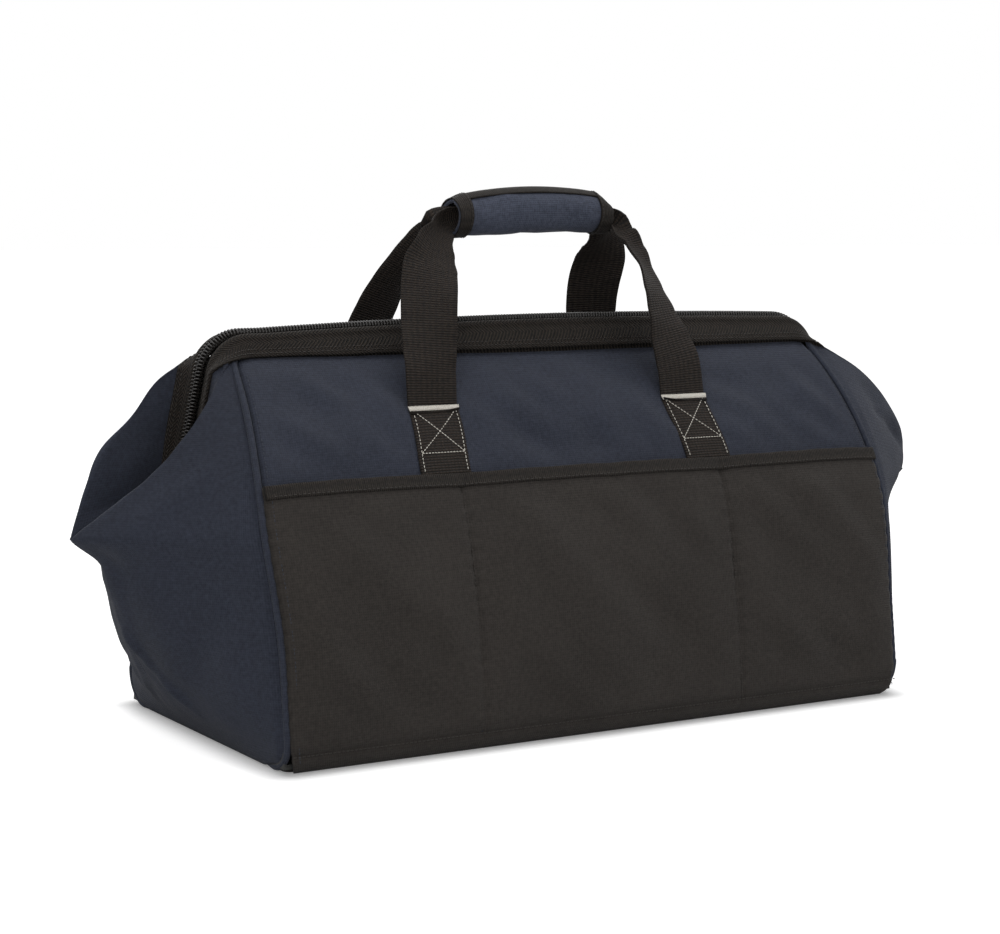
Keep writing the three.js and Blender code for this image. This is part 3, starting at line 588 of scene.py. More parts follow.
class Bag_OT_base(bpy.types.Operator):
    """Makes the base cloth with its rounded edge, and the piping at both ends of it."""
    bl_idname = "bag.base"
    bl_label = "Base"

    def execute(self, context):
        form = Form()
        bm = bmesh.new()
        bmesh.ops.create_cube(bm, size=MM)
        size = (2 * form.wall_end(0), 2 * form.base_half - 25, 3.6)
        bmesh.ops.scale(bm, vec=size, verts=bm.verts)
        bmesh.ops.translate(bm, vec=(0, 0, size[2] / 2 * MM), verts=bm.verts)
        upright = [e for e in bm.edges if abs(e.verts[0].co.z - e.verts[1].co.z) > MM]
        bmesh.ops.bevel(bm, geom=upright, offset=6 * MM, offset_type="OFFSET", segments=5,
                        profile=0.5, affect="EDGES", material=-1)
        rim = [e for e in bm.edges if len(e.link_faces) == 2 and e.calc_face_angle(0) > 1]
        bmesh.ops.bevel(bm, geom=rim, offset=1.5 * MM, offset_type="OFFSET", segments=3,
                        profile=0.5, affect="EDGES", material=-1)
        uv_layer = bm.loops.layers.uv.new("UVMap")
        for face in bm.faces:
            for loop in face.loops:
                loop[uv_layer].uv = loop.vert.co.xy
        piece("base_cloth", bm, "woven_black_polyester", ["base_panel"], body="tub")
        for end, name in ENDS:
            x = form.wall_end(0) + form.piping + 0.2
            y = form.wall_half(CORNER) - form.piping
            bend = [(x, y, CORNER + 4)]
            for degrees in (0, 22, 45, 68, 90):
                angle = math.radians(degrees)
                bend.append((x - 1.2 * math.sin(angle), y - PIPING_CORNER * (1 - math.cos(angle)),
                             CORNER - PIPING_CORNER * math.sin(angle)))
            bend += [(x - 3.4, y - 34, PIPING_FOOT), (x - 4, y - 60, PIPING_FOOT),
                     (x - 4, 30, PIPING_FOOT)]
            points = [Vector((end * a, -b, z)) for a, b, z in bend]
            points.append(Vector((end * (x - 4), 0, PIPING_FOOT)))
            points += [Vector((end * a, b, z)) for a, b, z in reversed(bend)]
            track = Track(points, Vector((end, 0, 0)), 240)
            bm = sweep_mesh(track, round_section(form.piping), 14, 240, 14)
            piece(f"{name}_base_piping_cord", bm, "woven_navy_polyester",
                  [f"{name}_base_piping"], body="tub")
        return {"FINISHED"}


def wall_cloth(form, side):
    """A wall's panel: nearly flat low down, drawn in over the mouth, with soft sags below it."""
    bottom = 2.8

    def place(u, v):
        z = lerp(bottom, form.panel_top, v)
        curl = turned_in(z, CORNER)
        x = lerp(-1, 1, u) * (form.wall_end(z) - CORNER_DRAW * curl)
        tuck = 2.0 * smooth(z, form.panel_top - 16, form.panel_top) + curl
        tuck += 2.6 * (1 - smooth(form.wall_end(z) - abs(x), 0, 3.6))
        return form.wall_point(side, x, z, -tuck)

    bm = grid_mesh(150, 84, place, (500, 290))
    facing(bm, lambda point: Vector((0, side, 0.2)))

    def amount(point):
        free = smooth(point.z, 170, 200) * (1 - smooth(point.z, 228, 251))
        free *= 1 - smooth(abs(point.x), form.wall_end(point.z) - 26, form.wall_end(point.z) - 4)
        strap = 1 - 0.6 * math.exp(-((abs(point.x) - form.strap_x) / 24) ** 2)
        broad = ripple((point.x, point.y, point.z * 1.4), 62, 3 + side)
        slant = ripple((point.x + 1.2 * point.z, point.y, 0.4 * (point.z - point.x)), 27, 9 + side)
        fine = ripple((point.x, point.y, point.z * 0.7), 16, 8 + side)
        return free * strap * (4.2 * broad + 3.4 * slant + 0.8 * fine)

    return push(bm, amount)


def pocket_cloth(form, side):
    """The pocket panel: slack between its dividers, gathered a little along every seam."""
    bottom = 2.0

    def place(u, v):
        z = lerp(bottom, form.pocket_top - 0.4, v)
        curl = turned_in(z, CORNER)
        x = lerp(-1, 1, u) * (form.wall_end(z) + 1.2 - CORNER_DRAW * curl)
        curl += 2.6 * (1 - smooth(form.wall_end(z) - abs(x), -1.2, 2.4))
        return form.wall_point(side, x, z, 1.2 + form.pocket_lift(x, z) - curl)

    bm = grid_mesh(240, 84, place, (500, 176))
    facing(bm, lambda point: Vector((0, side, 0.1)))

    def amount(point):
        edge = min(abs(point.x - form.divider), abs(point.x + form.divider),
                   abs(abs(point.x) - form.half_length))
        free = smooth(edge, 2, 34) * smooth(point.z, 12, 40) * (1 - smooth(point.z, 150, 172))
        broad = ripple((point.x, point.y, point.z * 0.75), 74, 13 + side)
        slant = ripple((point.x + point.z, point.y, 0.3 * (point.z - point.x)), 36, 5 + side)
        pucker = math.sin(point.z * 0.62) * (1 - smooth(edge, 2, 11)) * smooth(point.z, 14, 30)
        groove = -1.5 * math.exp(-((edge if abs(point.x) < 200 else 40) / 1.3) ** 2)
        groove *= smooth(point.z, 6, 14)
        hem_line = 12.5 + 1.2 * ripple((point.x, 0, 0), 46, 23 + side)
        hem = -1.3 * math.exp(-((point.z - hem_line) / 1.2) ** 2)
        hem += 0.9 * smooth(hem_line - point.z, 0, 1.6)
        low = ripple((point.x * 1.3, point.y, point.z * 0.5), 30, 19 + side)
        low *= smooth(point.z, 12, 22) * (1 - smooth(point.z, 45, 80))
        return free * (4.6 * broad + 3.8 * slant) + 0.4 * pucker + 1.5 * low + groove + hem

    return push(bm, amount)


def pocket_surface(form, side, x, z, lift):
    return form.wall_point(side, x, z, 1.2 + form.pocket_lift(x, z) + lift)


class Bag_OT_walls(bpy.types.Operator):
    """Makes both walls: panel, pockets, pocket binding, and every seam's stitches."""
    bl_idname = "bag.walls"
    bl_label = "Walls and pockets"

    def execute(self, context):
        form = Form()
        for side, wall in SIDES:
            body = f"{wall}_wall"
            normal = Vector((0, side, 0.12)).normalized()
            piece(f"{wall}_wall_cloth", wall_cloth(form, side), "woven_navy_polyester",
                  [f"{wall}_panel"], body=body, cloth=1.2)
            piece(f"{wall}_pocket_cloth", pocket_cloth(form, side), "woven_black_polyester",
                  [f"{wall}_pocket_panel"], body=body, cloth=0.9)

            outline = [(-3.4, -1.2), (4.2, -1.2), (4.9, -0.6), (4.9, 0.7), (4.2, 1.3), (-3.0, 1.3),
                       (-3.4, 1.0)]

            def binding(u, v, side=side):
                rise, out = outline_point(outline, u)
                x = lerp(-1, 1, v) * (form.wall_end(form.pocket_top) + 1.2)
                wobble = 0.6 * ripple((x, 0, 0), 23, 31 + side)
                return pocket_surface(form, side, x, form.pocket_top - 5 + rise + wobble, out + 0.1)

            bm = grid_mesh(22, 300, binding, (21, 500), wrap=True, caps=True)
            piece(f"{wall}_pocket_edge_binding", bm, "grosgrain_ribbon",
                  [f"{wall}_pocket_binding"], body=body)

            stitches = []
            reach = form.wall_end(form.pocket_top) - 3
            stitches += run_of(lambda t: pocket_surface(form, side, lerp(-reach, reach, t),
                                                        form.pocket_top - 7.2, 1.5),
                               lambda t: normal, 150)
            reach = form.half_length - 3
            stitches += run_of(lambda t: pocket_surface(form, side, lerp(-reach, reach, t),
                                                        12.5, -0.9),
                               lambda t: normal, 160)
            for x in (-form.divider, form.divider):
                stitches += run_of(lambda t: pocket_surface(form, side, x, lerp(13, 165, t), -0.8),
                                   lambda t: normal, 50)
            bm = stitch_mesh(stitches, 2.6, 0.34)
            piece(f"{wall}_pocket_stitches", bm, "black_polyester_thread", body=body)
        return {"FINISHED"}


def piping_track(form, side, end):
    heights = [CORNER + 1.5, 40, 80, 110, 150, 180, 210, 230, form.panel_top - 4]
    points = [form.wall_point(side, end * (form.wall_end(z) + form.piping + 0.2), z, -form.piping)
              for z in heights]
    return Track(points, Vector((0, side, 0.1)), 90)


class Bag_OT_piping(bpy.types.Operator):
    """Makes the piping down each end of each wall, with its welt and the stitches beside it."""
    bl_idname = "bag.piping"
    bl_label = "Piping"

    def execute(self, context):
        form = Form()
        for side, wall in SIDES:
            for end, name in ENDS:
                track = piping_track(form, side, end)

                def section(u, v):
                    swell = 1 + 0.04 * math.sin(v * track.length * 1.1)
                    return (form.piping * swell * math.cos(2 * math.pi * u),
                            form.piping * swell * math.sin(2 * math.pi * u))

                bm = sweep_mesh(track, section, 14, 260, 14)
                piece(f"{wall}_{name}_piping_cord", bm, "woven_navy_polyester",
                      [f"{wall}_{name}_piping"], body=f"{wall}_wall")

                def beside(t, side=side, end=end):
                    z = lerp(8, form.panel_top - 12, t)
                    lift = form.pocket_lift(end * (form.wall_end(z) - 3.4), z) + 1.2
                    rise = lift if z < form.pocket_top else 0.1
                    return form.wall_point(side, end * (form.wall_end(z) - 3.4), z, rise)

                bm = stitch_mesh(run_of(beside, lambda t: Vector((0, side, 0.1)), 88), 2.3, 0.3)
                piece(f"{wall}_{name}_seam_stitches", bm, "navy_polyester_thread",
                      body=f"{wall}_wall")
        return {"FINISHED"}


def strap_centre(form, side, end, z):
    """The straps lean a little as they rise, and the front handle is sewn off the middle."""
    foot = lerp(form.strap_foot_x, form.strap_x, smooth(z, form.pocket_top, form.tack_height))
    return end * foot - (FRONT_HANDLE_SHIFT if side < 0 else 0.0)


class Bag_OT_strap_feet(bpy.types.Operator):
    """Makes the sewn foot of each strap, its crossed box of stitches and its bar tack."""
    bl_idname = "bag.strap_feet"
    bl_label = "Strap feet"

    def execute(self, context):
        form = Form()
        half = form.strap_width / 2
        low, high = form.pocket_top - 3, form.tack_height
        for side, wall in SIDES:
            for end, name in ENDS:
                def on_strap(across, z, lift, side=side, end=end):
                    x = strap_centre(form, side, end, z) + across
                    return form.wall_point(side, x, z, lift)

                def foot(u, v):
                    rise, z = lerp(-1, 1, u), lerp(low, high, v)
                    edge = 1.0 - smooth(abs(rise), 0.86, 1.0) * 0.5
                    sewn = 0.5 * smooth(abs(rise), 0.55, 0.75) * (1 - smooth(abs(rise), 0.84, 0.96))
                    return on_strap(rise * half, z, 0.5 + 1.7 * edge - sewn)

                bm = grid_mesh(24, 30, foot, (form.strap_width, high - low))
                facing(bm, lambda point: Vector((0, side, 0.1)))
                piece(f"{wall}_{name}_strap_foot", bm, "woven_polypropylene_webbing",
                      [f"{wall}_{name}_strap_anchor"], body=f"{wall}_wall",
                      cloth=1.5)

                normal = form.wall_normal(side, 205)
                wide, box_low, box_high = half - 2.6, 191.5, high - 1

                def seam(start, finish, count, lift=2.35):
                    return run_of(lambda t: on_strap(lerp(start[0], finish[0], t),
                                                     lerp(start[1], finish[1], t), lift),
                                  lambda t: normal, count)

                corners = [(-wide, box_low), (wide, box_low), (wide, box_high), (-wide, box_high)]
                stitches = []
                for start, finish in zip(corners, corners[1:] + corners[:1]):
                    stitches += seam(start, finish, round(math.dist(start, finish) / 2.3))
                stitches += seam(corners[0], corners[2], 19) + seam(corners[1], corners[3], 19)
                for across in (-wide, wide):
                    stitches += seam((across, box_low), (across, low + 5), 5)
                bm = stitch_mesh(stitches, 2.05, 0.33)
                tack = []
                for i in range(72):
                    across = lerp(-half + 0.2, half - 0.2, i / 71)
                    lean = 0.45 if i % 2 else -0.45
                    a = on_strap(across - lean, high - 1.6, 2.8)
                    b = on_strap(across + lean, high + 1.4, 3.2)
                    tack.append(((a + b) / 2, b - a, normal))
                join_mesh(bm, stitch_mesh(tack, 4.3, 0.62))
                piece(f"{wall}_{name}_crossed_box", bm, "undyed_polyester_thread",
                      body=f"{wall}_wall")
        return {"FINISHED"}


# Mouth

def mouth_blend(wall):
    """The wall for the top run and the frame for the legs, with two points; nothing ties the pieces
    to them.
    """
    return f"{wall}_wall", f"{wall}_frame", (0, 0, 266), (0, 0, 238)


def sleeve_outline():
    """The sleeve's section: round over the rod, then two plies down over the wall's edge."""
    points = [(15.0, 1.0), (14.9, 2.3), (11.0, 2.5), (7.0, 3.0)]
    for i in range(13):
        angle = math.radians(lerp(48, 320, i / 12))
        points.append((4.15 * math.cos(angle), 4.15 * math.sin(angle)))
    return points + [(8.0, -1.7), (13.0, -1.6), (13.4, -0.9), (13.2, 0.2)]


class Bag_OT_mouth(bpy.types.Operator):
    """Makes the webbing sleeves along the mouth, the zip tapes, and the zip's two coils."""
    bl_idname = "bag.mouth"
    bl_label = "Mouth and zip"

    def execute(self, context):
        form = Form()
        outline = sleeve_outline()
        for side, wall in SIDES:
            reach = form.mouth_reach(165)

            def sleeve(u, v, side=side):
                distance = lerp(-reach, reach, v)
                along, out = outline_point(outline, u)
                crown = form.crown(distance, form.rod_drop)
                waver = 0.6 * ripple((distance, 0, 0), 40, 17 + side)
                along += smooth(along, 2, 11) * (crown + waver)
                return form.sleeve_point(side, distance, along, out, crown * smooth(out, -3, 1))

            bm = grid_mesh(46, 360, sleeve, (56, 2 * reach), wrap=True, caps=True)
            piece(f"{wall}_mouth_webbing", bm, "herringbone_webbing",
                  [f"{wall}_mouth_sleeve"], blend=mouth_blend(wall))

            def tape(u, v, side=side):
                distance = lerp(-form.mouth_reach(166), form.mouth_reach(166), v)
                dip = 0.25 * math.sin(distance * 0.9) * (1 - u) + form.crown(distance, 0)
                return form.mouth_point(side, distance, 0, lerp(1.2, 9.2, u), -3.5 + dip)

            bm = grid_mesh(8, 500, tape, (8, 640))
            facing(bm, lambda point: Vector((point.x / 400, 0, 1)))
            piece(f"{wall}_zip_tape_cloth", bm, "woven_zip_tape",
                  [f"{wall}_zip_tape"], blend=mouth_blend(wall), cloth=0.7)

            bm = bmesh.new()
            far = form.mouth_reach(183)
            count = int(2 * far / form.tooth_pitch)
            for i in range(count):
                distance = -far + form.tooth_pitch * (i + (0.5 if side > 0 else 0))
                x, z, angle, _ = form.mouth_station(distance, 0)
                across = Vector((0, side, 0))
                rise = Vector((math.sin(angle), 0, math.cos(angle)))
                along = rise.cross(across)
                spot = Vector((x, side * 1.9, z)) + rise * form.crown(distance, 0)
                tooth = grid_mesh(10, 5, lambda u, v: spot + tooth_point(u, v, across, rise, along),
                                  (14, 3), wrap=True)
                join_mesh(bm, tooth)
            bmesh.ops.recalc_face_normals(bm, faces=bm.faces)
            piece(f"{wall}_zip_teeth", bm, "nylon_monofilament",
                  [f"{wall}_zip_coil"], blend=mouth_blend(wall))

            rows = []
            for away in (9.4, 12.6):
                def seam(t, away=away, side=side):
                    distance = lerp(-form.mouth_reach(185), form.mouth_reach(185), t)
                    crown = form.crown(distance, form.rod_drop)
                    return form.sleeve_point(side, distance, away + crown, 2.75, crown)
                rows += run_of(seam, lambda t: Vector((0, side, 0.6)), 190)
            bm = stitch_mesh(rows, 2.5, 0.3)
            piece(f"{wall}_mouth_stitches", bm, "black_polyester_thread",
                  blend=mouth_blend(wall))
        return {"FINISHED"}


def tooth_point(u, v, across, rise, along):
    """A point on one turn of the coil: a bent wire that leans toward the next turn."""
    turn = 2 * math.pi * u
    ring = across * (1.75 * math.cos(turn)) + rise * (2.5 * math.sin(turn))
    out = (across * math.cos(turn) + rise * math.sin(turn)).normalized()
    round_wire = 2 * math.pi * v
    lean = 0.35 * math.cos(turn)
    return ring + out * (0.62 * math.cos(round_wire)) + along * (0.66 * math.sin(round_wire) + lean)


# Ends

# Height at which the ends' cloth is sewn to the base
GUSSET_FOOT = 4.6
# How far the folded cloth of each end stands out past its seam, in millimetres
LIPS = {-1: 3.0, 1: 7.0}
# The tip of each end's fold: along, toward the back, up
TIPS = {-1: (343, 0, 140), 1: (350, -10, 149)}
# How far the middle of each end stands out, at even heights from its foot to its tip
MIDDLES = {-1: (-4, 15, 29, 40, 49, 56, 62, 68, 88), 1: (-8, 13, 30, 42, 51, 57, 61, 66, 91)}
# The ridge of each half from its tip to its wall: along, out from the middle, up
RIDGES = {
    (-1, -1): ((322, 17, 160), (301, 30, 181), (281, 37, 206), (262, 36, 230)),
    (-1, 1): ((331, 7, 167), (315, 15, 193), (292, 22, 213), (270, 27, 237)),
    (1, -1): ((344, 16, 168), (329, 24, 191), (309, 27, 214), (283, 26, 234)),
    (1, 1): ((336, 6, 167), (320, 18, 190), (298, 24, 212), (272, 27, 236)),
}
# Creases that run across each half: start and end in depth and height, width, height of the fold
CREASES = {
    (-1, 1): ((8, 50, 54, 10, 4.5, 3.2), (92, 60, 60, 16, 7, 2.4)),
    (-1, -1): ((0, 86, 12, 56, 4.2, 3.4), (12, 56, 36, 26, 4.2, 3.0), (60, 190, 22, 130, 9, 2.2),
               (84, 100, 40, 40, 12, -2.6)),
    (1, -1): ((34, 238, 46, 200, 7, -5.0), (46, 200, 22, 164, 7, -5.0), (74, 62, 12, 24, 6, 2.4)),
    (1, 1): ((70, 80, 18, 30, 7, 2.6), (50, 200, 20, 150, 8, -3.0)),
}


def near_segment(y, z, y0, z0, y1, z1, width):
    """How close a place is to a crease: 1 on it, falling to 0 past its width."""
    span = Vector((y1 - y0, z1 - z0))
    share = clamp(Vector((y - y0, z - z0)).dot(span) / span.length_squared)
    gap = math.hypot(y - y0 - span.x * share, z - z0 - span.y * share)
    return math.exp(-(gap / width) ** 2) * math.sin(math.pi * min(0.88, max(0.12, share)))


def gusset_paths(form, side, end):
    """One half of an end: its wall seam, its middle fold, its ridge and its edge on the zip."""
    start = 2.0
    tip = Vector(TIPS[end])
    tip.x = end * (tip.x - LIPS[end])

    def seam(z):
        depth = form.wall_half(z) - 2.1 * form.piping - turned_in(z, PIPING_CORNER)
        return Vector((end * (form.wall_end(z) + start), side * depth, z))

    def middle(z):
        share = max(0.0, (z - GUSSET_FOOT) / (tip.z - GUSSET_FOOT))
        out = spline_point([Vector((reach, 0, 0)) for reach in MIDDLES[end]], share).x
        return Vector((end * (form.half_length + start + out), tip.y * share ** 3, z))

    top = seam(form.panel_top - 8) + Vector((end * (5 - LIPS[end]), -side, 4))
    along_ridge = [tip]
    along_ridge += [Vector((end * (x - LIPS[end]), side * y, z)) for x, y, z in RIDGES[end, side]]
    along_ridge.append(top)

    def ridge(t):
        return spline_point(along_ridge, t)

    low, high = form.mouth_reach(166), form.arc_start + 0.62 * form.arc_length
    valley = Vector((end * (form.hinge_x() + 6), 0, form.hinge_height - 1))

    def zip_edge(t):
        if t < 0.12:
            return valley.lerp(zip_edge(0.12), t / 0.12)
        distance = lerp(low, high, (t - 0.12) / 0.88)
        return form.sleeve_point(side, end * distance, 13.2, 0)

    return seam, middle, ridge, zip_edge, tip


def gusset_half(form, side, end):
    """Half of an end: the cloth from the wall's seam out to the fold, and back in to the zip."""
    seam, middle, ridge, zip_edge, tip = gusset_paths(form, side, end)
    top = form.panel_top - 8
    split = tip.z + 8

    def outer(u, v):
        if v < 0.5:
            part = v * 2
            start = seam(lerp(GUSSET_FOOT, split, part))
            finish = middle(lerp(GUSSET_FOOT, tip.z, part))
            swell = 0.9 - 0.65 * smooth(part, 0.4, 1)
        else:
            part = v * 2 - 1
            start, finish = seam(lerp(split, top, part)), ridge(part)
            swell = 0.25
        point = start.lerp(finish, u)
        point.x = lerp(start.x, finish.x, lerp(u, math.sin(math.pi / 2 * u), swell))
        inset = (start - finish).length * u
        point.x += (end * LIPS[end] * smooth(inset, 0, 6.5)
                    * (0.4 + 0.6 * smooth(point.z, GUSSET_FOOT, 12)))
        point.z -= 3.4 * smooth(inset, 4, 22) * (1 - smooth(point.z, GUSSET_FOOT, 18))
        return point

    def inner(u, v):
        point = ridge(v).lerp(zip_edge(v), u)
        sag = math.sin(math.pi * u) * math.sin(math.pi * min(1, v * 1.15))
        lip = end * LIPS[end] * (1 - u) ** 2
        return point + Vector((lip - end * 5 * sag, 0, -3 * sag))

    bm = grid_mesh(60, 120, outer, (150, 300))
    join_mesh(bm, grid_mesh(30, 60, inner, (60, 130)))
    bmesh.ops.remove_doubles(bm, verts=bm.verts, dist=1e-5)
    facing(bm, lambda point: Vector((end, side * 0.6, 0.3)))
    fold = [v for v in bm.verts if not v.is_boundary and v.co.z > (form.beak_height - 20) * MM]
    for _ in range(2):
        bmesh.ops.smooth_vert(bm, verts=fold, factor=0.5, use_axis_x=True, use_axis_y=True,
                              use_axis_z=True)

    def amount(point):
        seam_gap = form.wall_half(point.z) - form.piping - abs(point.y)
        free = smooth(seam_gap, 2, 26) * smooth(point.z, 6, 40)
        free *= 1 - smooth(point.z, 195, 232)
        middle_free = smooth(abs(point.y), 0, 10)
        reach = math.hypot((abs(point.x) - 345) * 0.5, point.z - form.beak_height)
        radial = ripple((reach * 0.35, math.atan2(point.y, 30) * 60, point.z * 0.5), 26,
                        21 + side + 2 * end)
        broad = ripple(point, 55, 41 + side + 2 * end)
        fine = ripple(point, 19, 47 + side + 2 * end)
        crease = sum(near_segment(abs(point.y), point.z, *line[:5]) * line[5]
                     for line in CREASES[end, side])
        return free * (middle_free * (3.0 * broad + 2.4 * radial + 0.9 * fine) + crease)

    return push(bm, amount)


def lining_half(form, side, end):
    """Half of an end's lining, which hangs inside from the zip's leg and shows in an open mouth."""
    seam, _, _, zip_edge, _ = gusset_paths(form, side, end)
    top = form.panel_top - 8
    inward = 2.6 if side < 0 else 3.4

    def place(u, v):
        if v < 0.4:
            part = v / 0.4
            near = Vector((end * 247, 0, 80)).lerp(zip_edge(0), part)
            far = seam(lerp(45, 105, part))
        else:
            part = (v - 0.4) / 0.6
            near, far = zip_edge(part), seam(lerp(105, top, part))
        point = near.lerp(far, u)
        point.x -= end * inward
        return point

    bm = grid_mesh(40, 60, place, (110, 190))
    facing(bm, lambda point: Vector((end, 0, 0)))
    return bm


class Bag_OT_gussets(bpy.types.Operator):
    """Makes both folded ends, each in a front half and a back half."""
    bl_idname = "bag.gussets"
    bl_label = "Folded ends"

    def execute(self, context):
        form = Form()
        for end, name in ENDS:
            for side, wall in SIDES:
                piece(f"{name}_{wall}_gusset_cloth", gusset_half(form, side, end),
                      "woven_navy_polyester", [f"{name}_gusset"],
                      blend=("tub", f"{wall}_wall", (0, 0, 143), (0, side * 65, 180)), cloth=1.1)
                piece(f"{name}_{wall}_gusset_lining", lining_half(form, side, end),
                      "woven_navy_polyester",
                      blend=(f"{wall}_wall", f"{wall}_frame", (0, side * 62, 190),
                             (0, side * 13, 190)), cloth=0.8)
        return {"FINISHED"}


# Handles

# Each strap on its way from its tack up into the grip: along, toward its own wall, up, width, and
# how far it has turned toward the right, in degrees
STRAP_PATHS = {
    (-1, 1): ((94.5, 55.5, 243, 38, 3), (91, 50.5, 260, 38, 12), (87, 45, 279, 38, 28),
              (83.5, 39, 296, 38, 36), (80, 32, 311, 36, 40), (76, 24, 324, 30, 30),
              (72.5, 14, 335, 22, 10)),
    (-1, -1): ((-109.5, 55.5, 243, 38, 0), (-107.5, 50.5, 260, 38, -10), (-105, 45, 279, 38, -20),
               (-101.5, 39, 296, 38, -24), (-96, 31, 312, 38, -18), (-88, 23, 325, 32, -6),
               (-79, 14, 335, 22, 0)),
    (1, 1): ((99, 56, 243, 38, 4), (93.5, 53, 261, 38, 12), (89.5, 48, 280, 38, 20),
             (87.5, 42, 297, 38, 24), (86, 33, 313, 38, 20), (81, 22, 327, 34, 10),
             (74, 12, 337, 22, 0)),
    (1, -1): ((-101, 56, 243, 38, -6), (-99, 53, 261, 38, -12), (-93, 48, 280, 37, -16),
              (-86, 41, 298, 34, -18), (-79, 31, 314, 29, -14), (-73, 21, 328, 23, -6),
              (-69.5, 12, 338, 18, 0)),
}


class Bag_OT_straps(bpy.types.Operator):
    """Makes the webbing loop of each handle, flat at the wall and bunched at the grip."""
    bl_idname = "bag.straps"
    bl_label = "Handle straps"

    def execute(self, context):
        form = Form()
        grip_end = form.grip_length / 2
        for side, wall in SIDES:
            runs = []
            for end in (1, -1):
                x = strap_centre(form, side, end, form.tack_height)
                low = form.wall_point(side, x, form.tack_height - 2.5, 3.0)
                start = form.wall_point(side, x, form.tack_height + 1.6, 1.3)
                run = [(*low, 37, 0), (*start, 37, 0)]
                run += [(along, side * out, up, width, turned)
                        for along, out, up, width, turned in STRAP_PATHS[side, end]]
                run += [(end * (grip_end + 1), side * 6, GRIP_HEIGHT - 3, 17, 0),
                        (end * (grip_end - 14), side * 4.6, GRIP_HEIGHT, 15, 0),
                        (end * (grip_end - 40), side * 4.4, GRIP_HEIGHT, 15, 0)]
                runs.append(run)
            stations = runs[0] + runs[1][::-1]
            points = [Vector(station[:3]) for station in stations]
            widths = [station[3] for station in stations]
            turns = [math.radians(station[4]) for station in stations]

            def face(track, share):
                turned = track.value(turns, share)
                near = min(share, 1 - share)
                return Vector((math.sin(turned), side * math.cos(turned),
                               0.25 * (1 - smooth(near, 0, 0.1))))

            track = Track(points, face, 260)

            def section(u, v):
                width = track.value(widths, v)
                across, out = outline_point([(-1, -0.7), (0, -0.7), (1, -0.7), (1.02, 0), (1, 0.7),
                                             (0, 0.7), (-1, 0.7), (-1.02, 0)], u)
                gathered = math.sqrt(max(0.0, form.strap_width ** 2 - width ** 2))
                cup = min(5.0, 0.16 * gathered)
                return across * width / 2, out * 1.1 - cup * (1 - across ** 2) + cup * 0.5

            bm = sweep_mesh(track, section, 44, 420, 80)
            piece(f"{wall}_handle_webbing", bm, "woven_polypropylene_webbing",
                  [f"{wall}_handle_strap"], body=f"{wall}_handle")
        return {"FINISHED"}


def grip_point(form, x, angle, outward):
    """The grip's surface: a flattened round, arched along its top and puffed by its foam."""
    half = form.grip_length / 2
    share = min(1.0, abs(x) / half)
    upper = max(0.0, math.sin(angle))
    arch = math.cos(math.pi / 2 * share) * (3.2 + 1.6 * math.sin(angle)) - 0.6 + 1.3 * x / half
    right, left = smooth(x, half - 13, half + 3), smooth(-x, half - 8, half + 2)
    arch -= 7.0 * upper * (right ** 2 + 0.3 * left)
    puff = 0.9 * (1 - smooth(share, 0.62, 0.92))
    depth, height = 15 + outward + puff, 13.4 + outward + 0.5 * puff
    lean = -2.0 if math.cos(angle) < 0 else 0.0
    return Vector((0.9 * x + 2 + lean * smooth(-math.cos(angle), 0, 0.4), depth * math.cos(angle),
                   GRIP_HEIGHT + 2.2 + height * math.sin(angle) + arch))


def grip_shell(form, degrees, span, outward, columns, rows, seed=0):
    """A part of the grip's cover between two angles and two places along it."""
    def place(u, v):
        return grip_point(form, lerp(span[0], span[1], v), math.radians(lerp(*degrees, u)), outward)
    bm = grid_mesh(columns, rows, place, (50, span[1] - span[0]))
    facing(bm, lambda point: Vector((0, point.y, point.z - GRIP_HEIGHT)))

    def amount(point):
        folds = 1.2 * ripple((point.x * 0.8, point.y, point.z * 1.6), 22, seed)
        folds += 0.55 * ripple((point.x * 0.6, point.y, point.z), 9, seed + 3)
        return (1 - smooth(abs(point.x), 52, 60)) * folds

    return push(bm, amount) if seed else bm


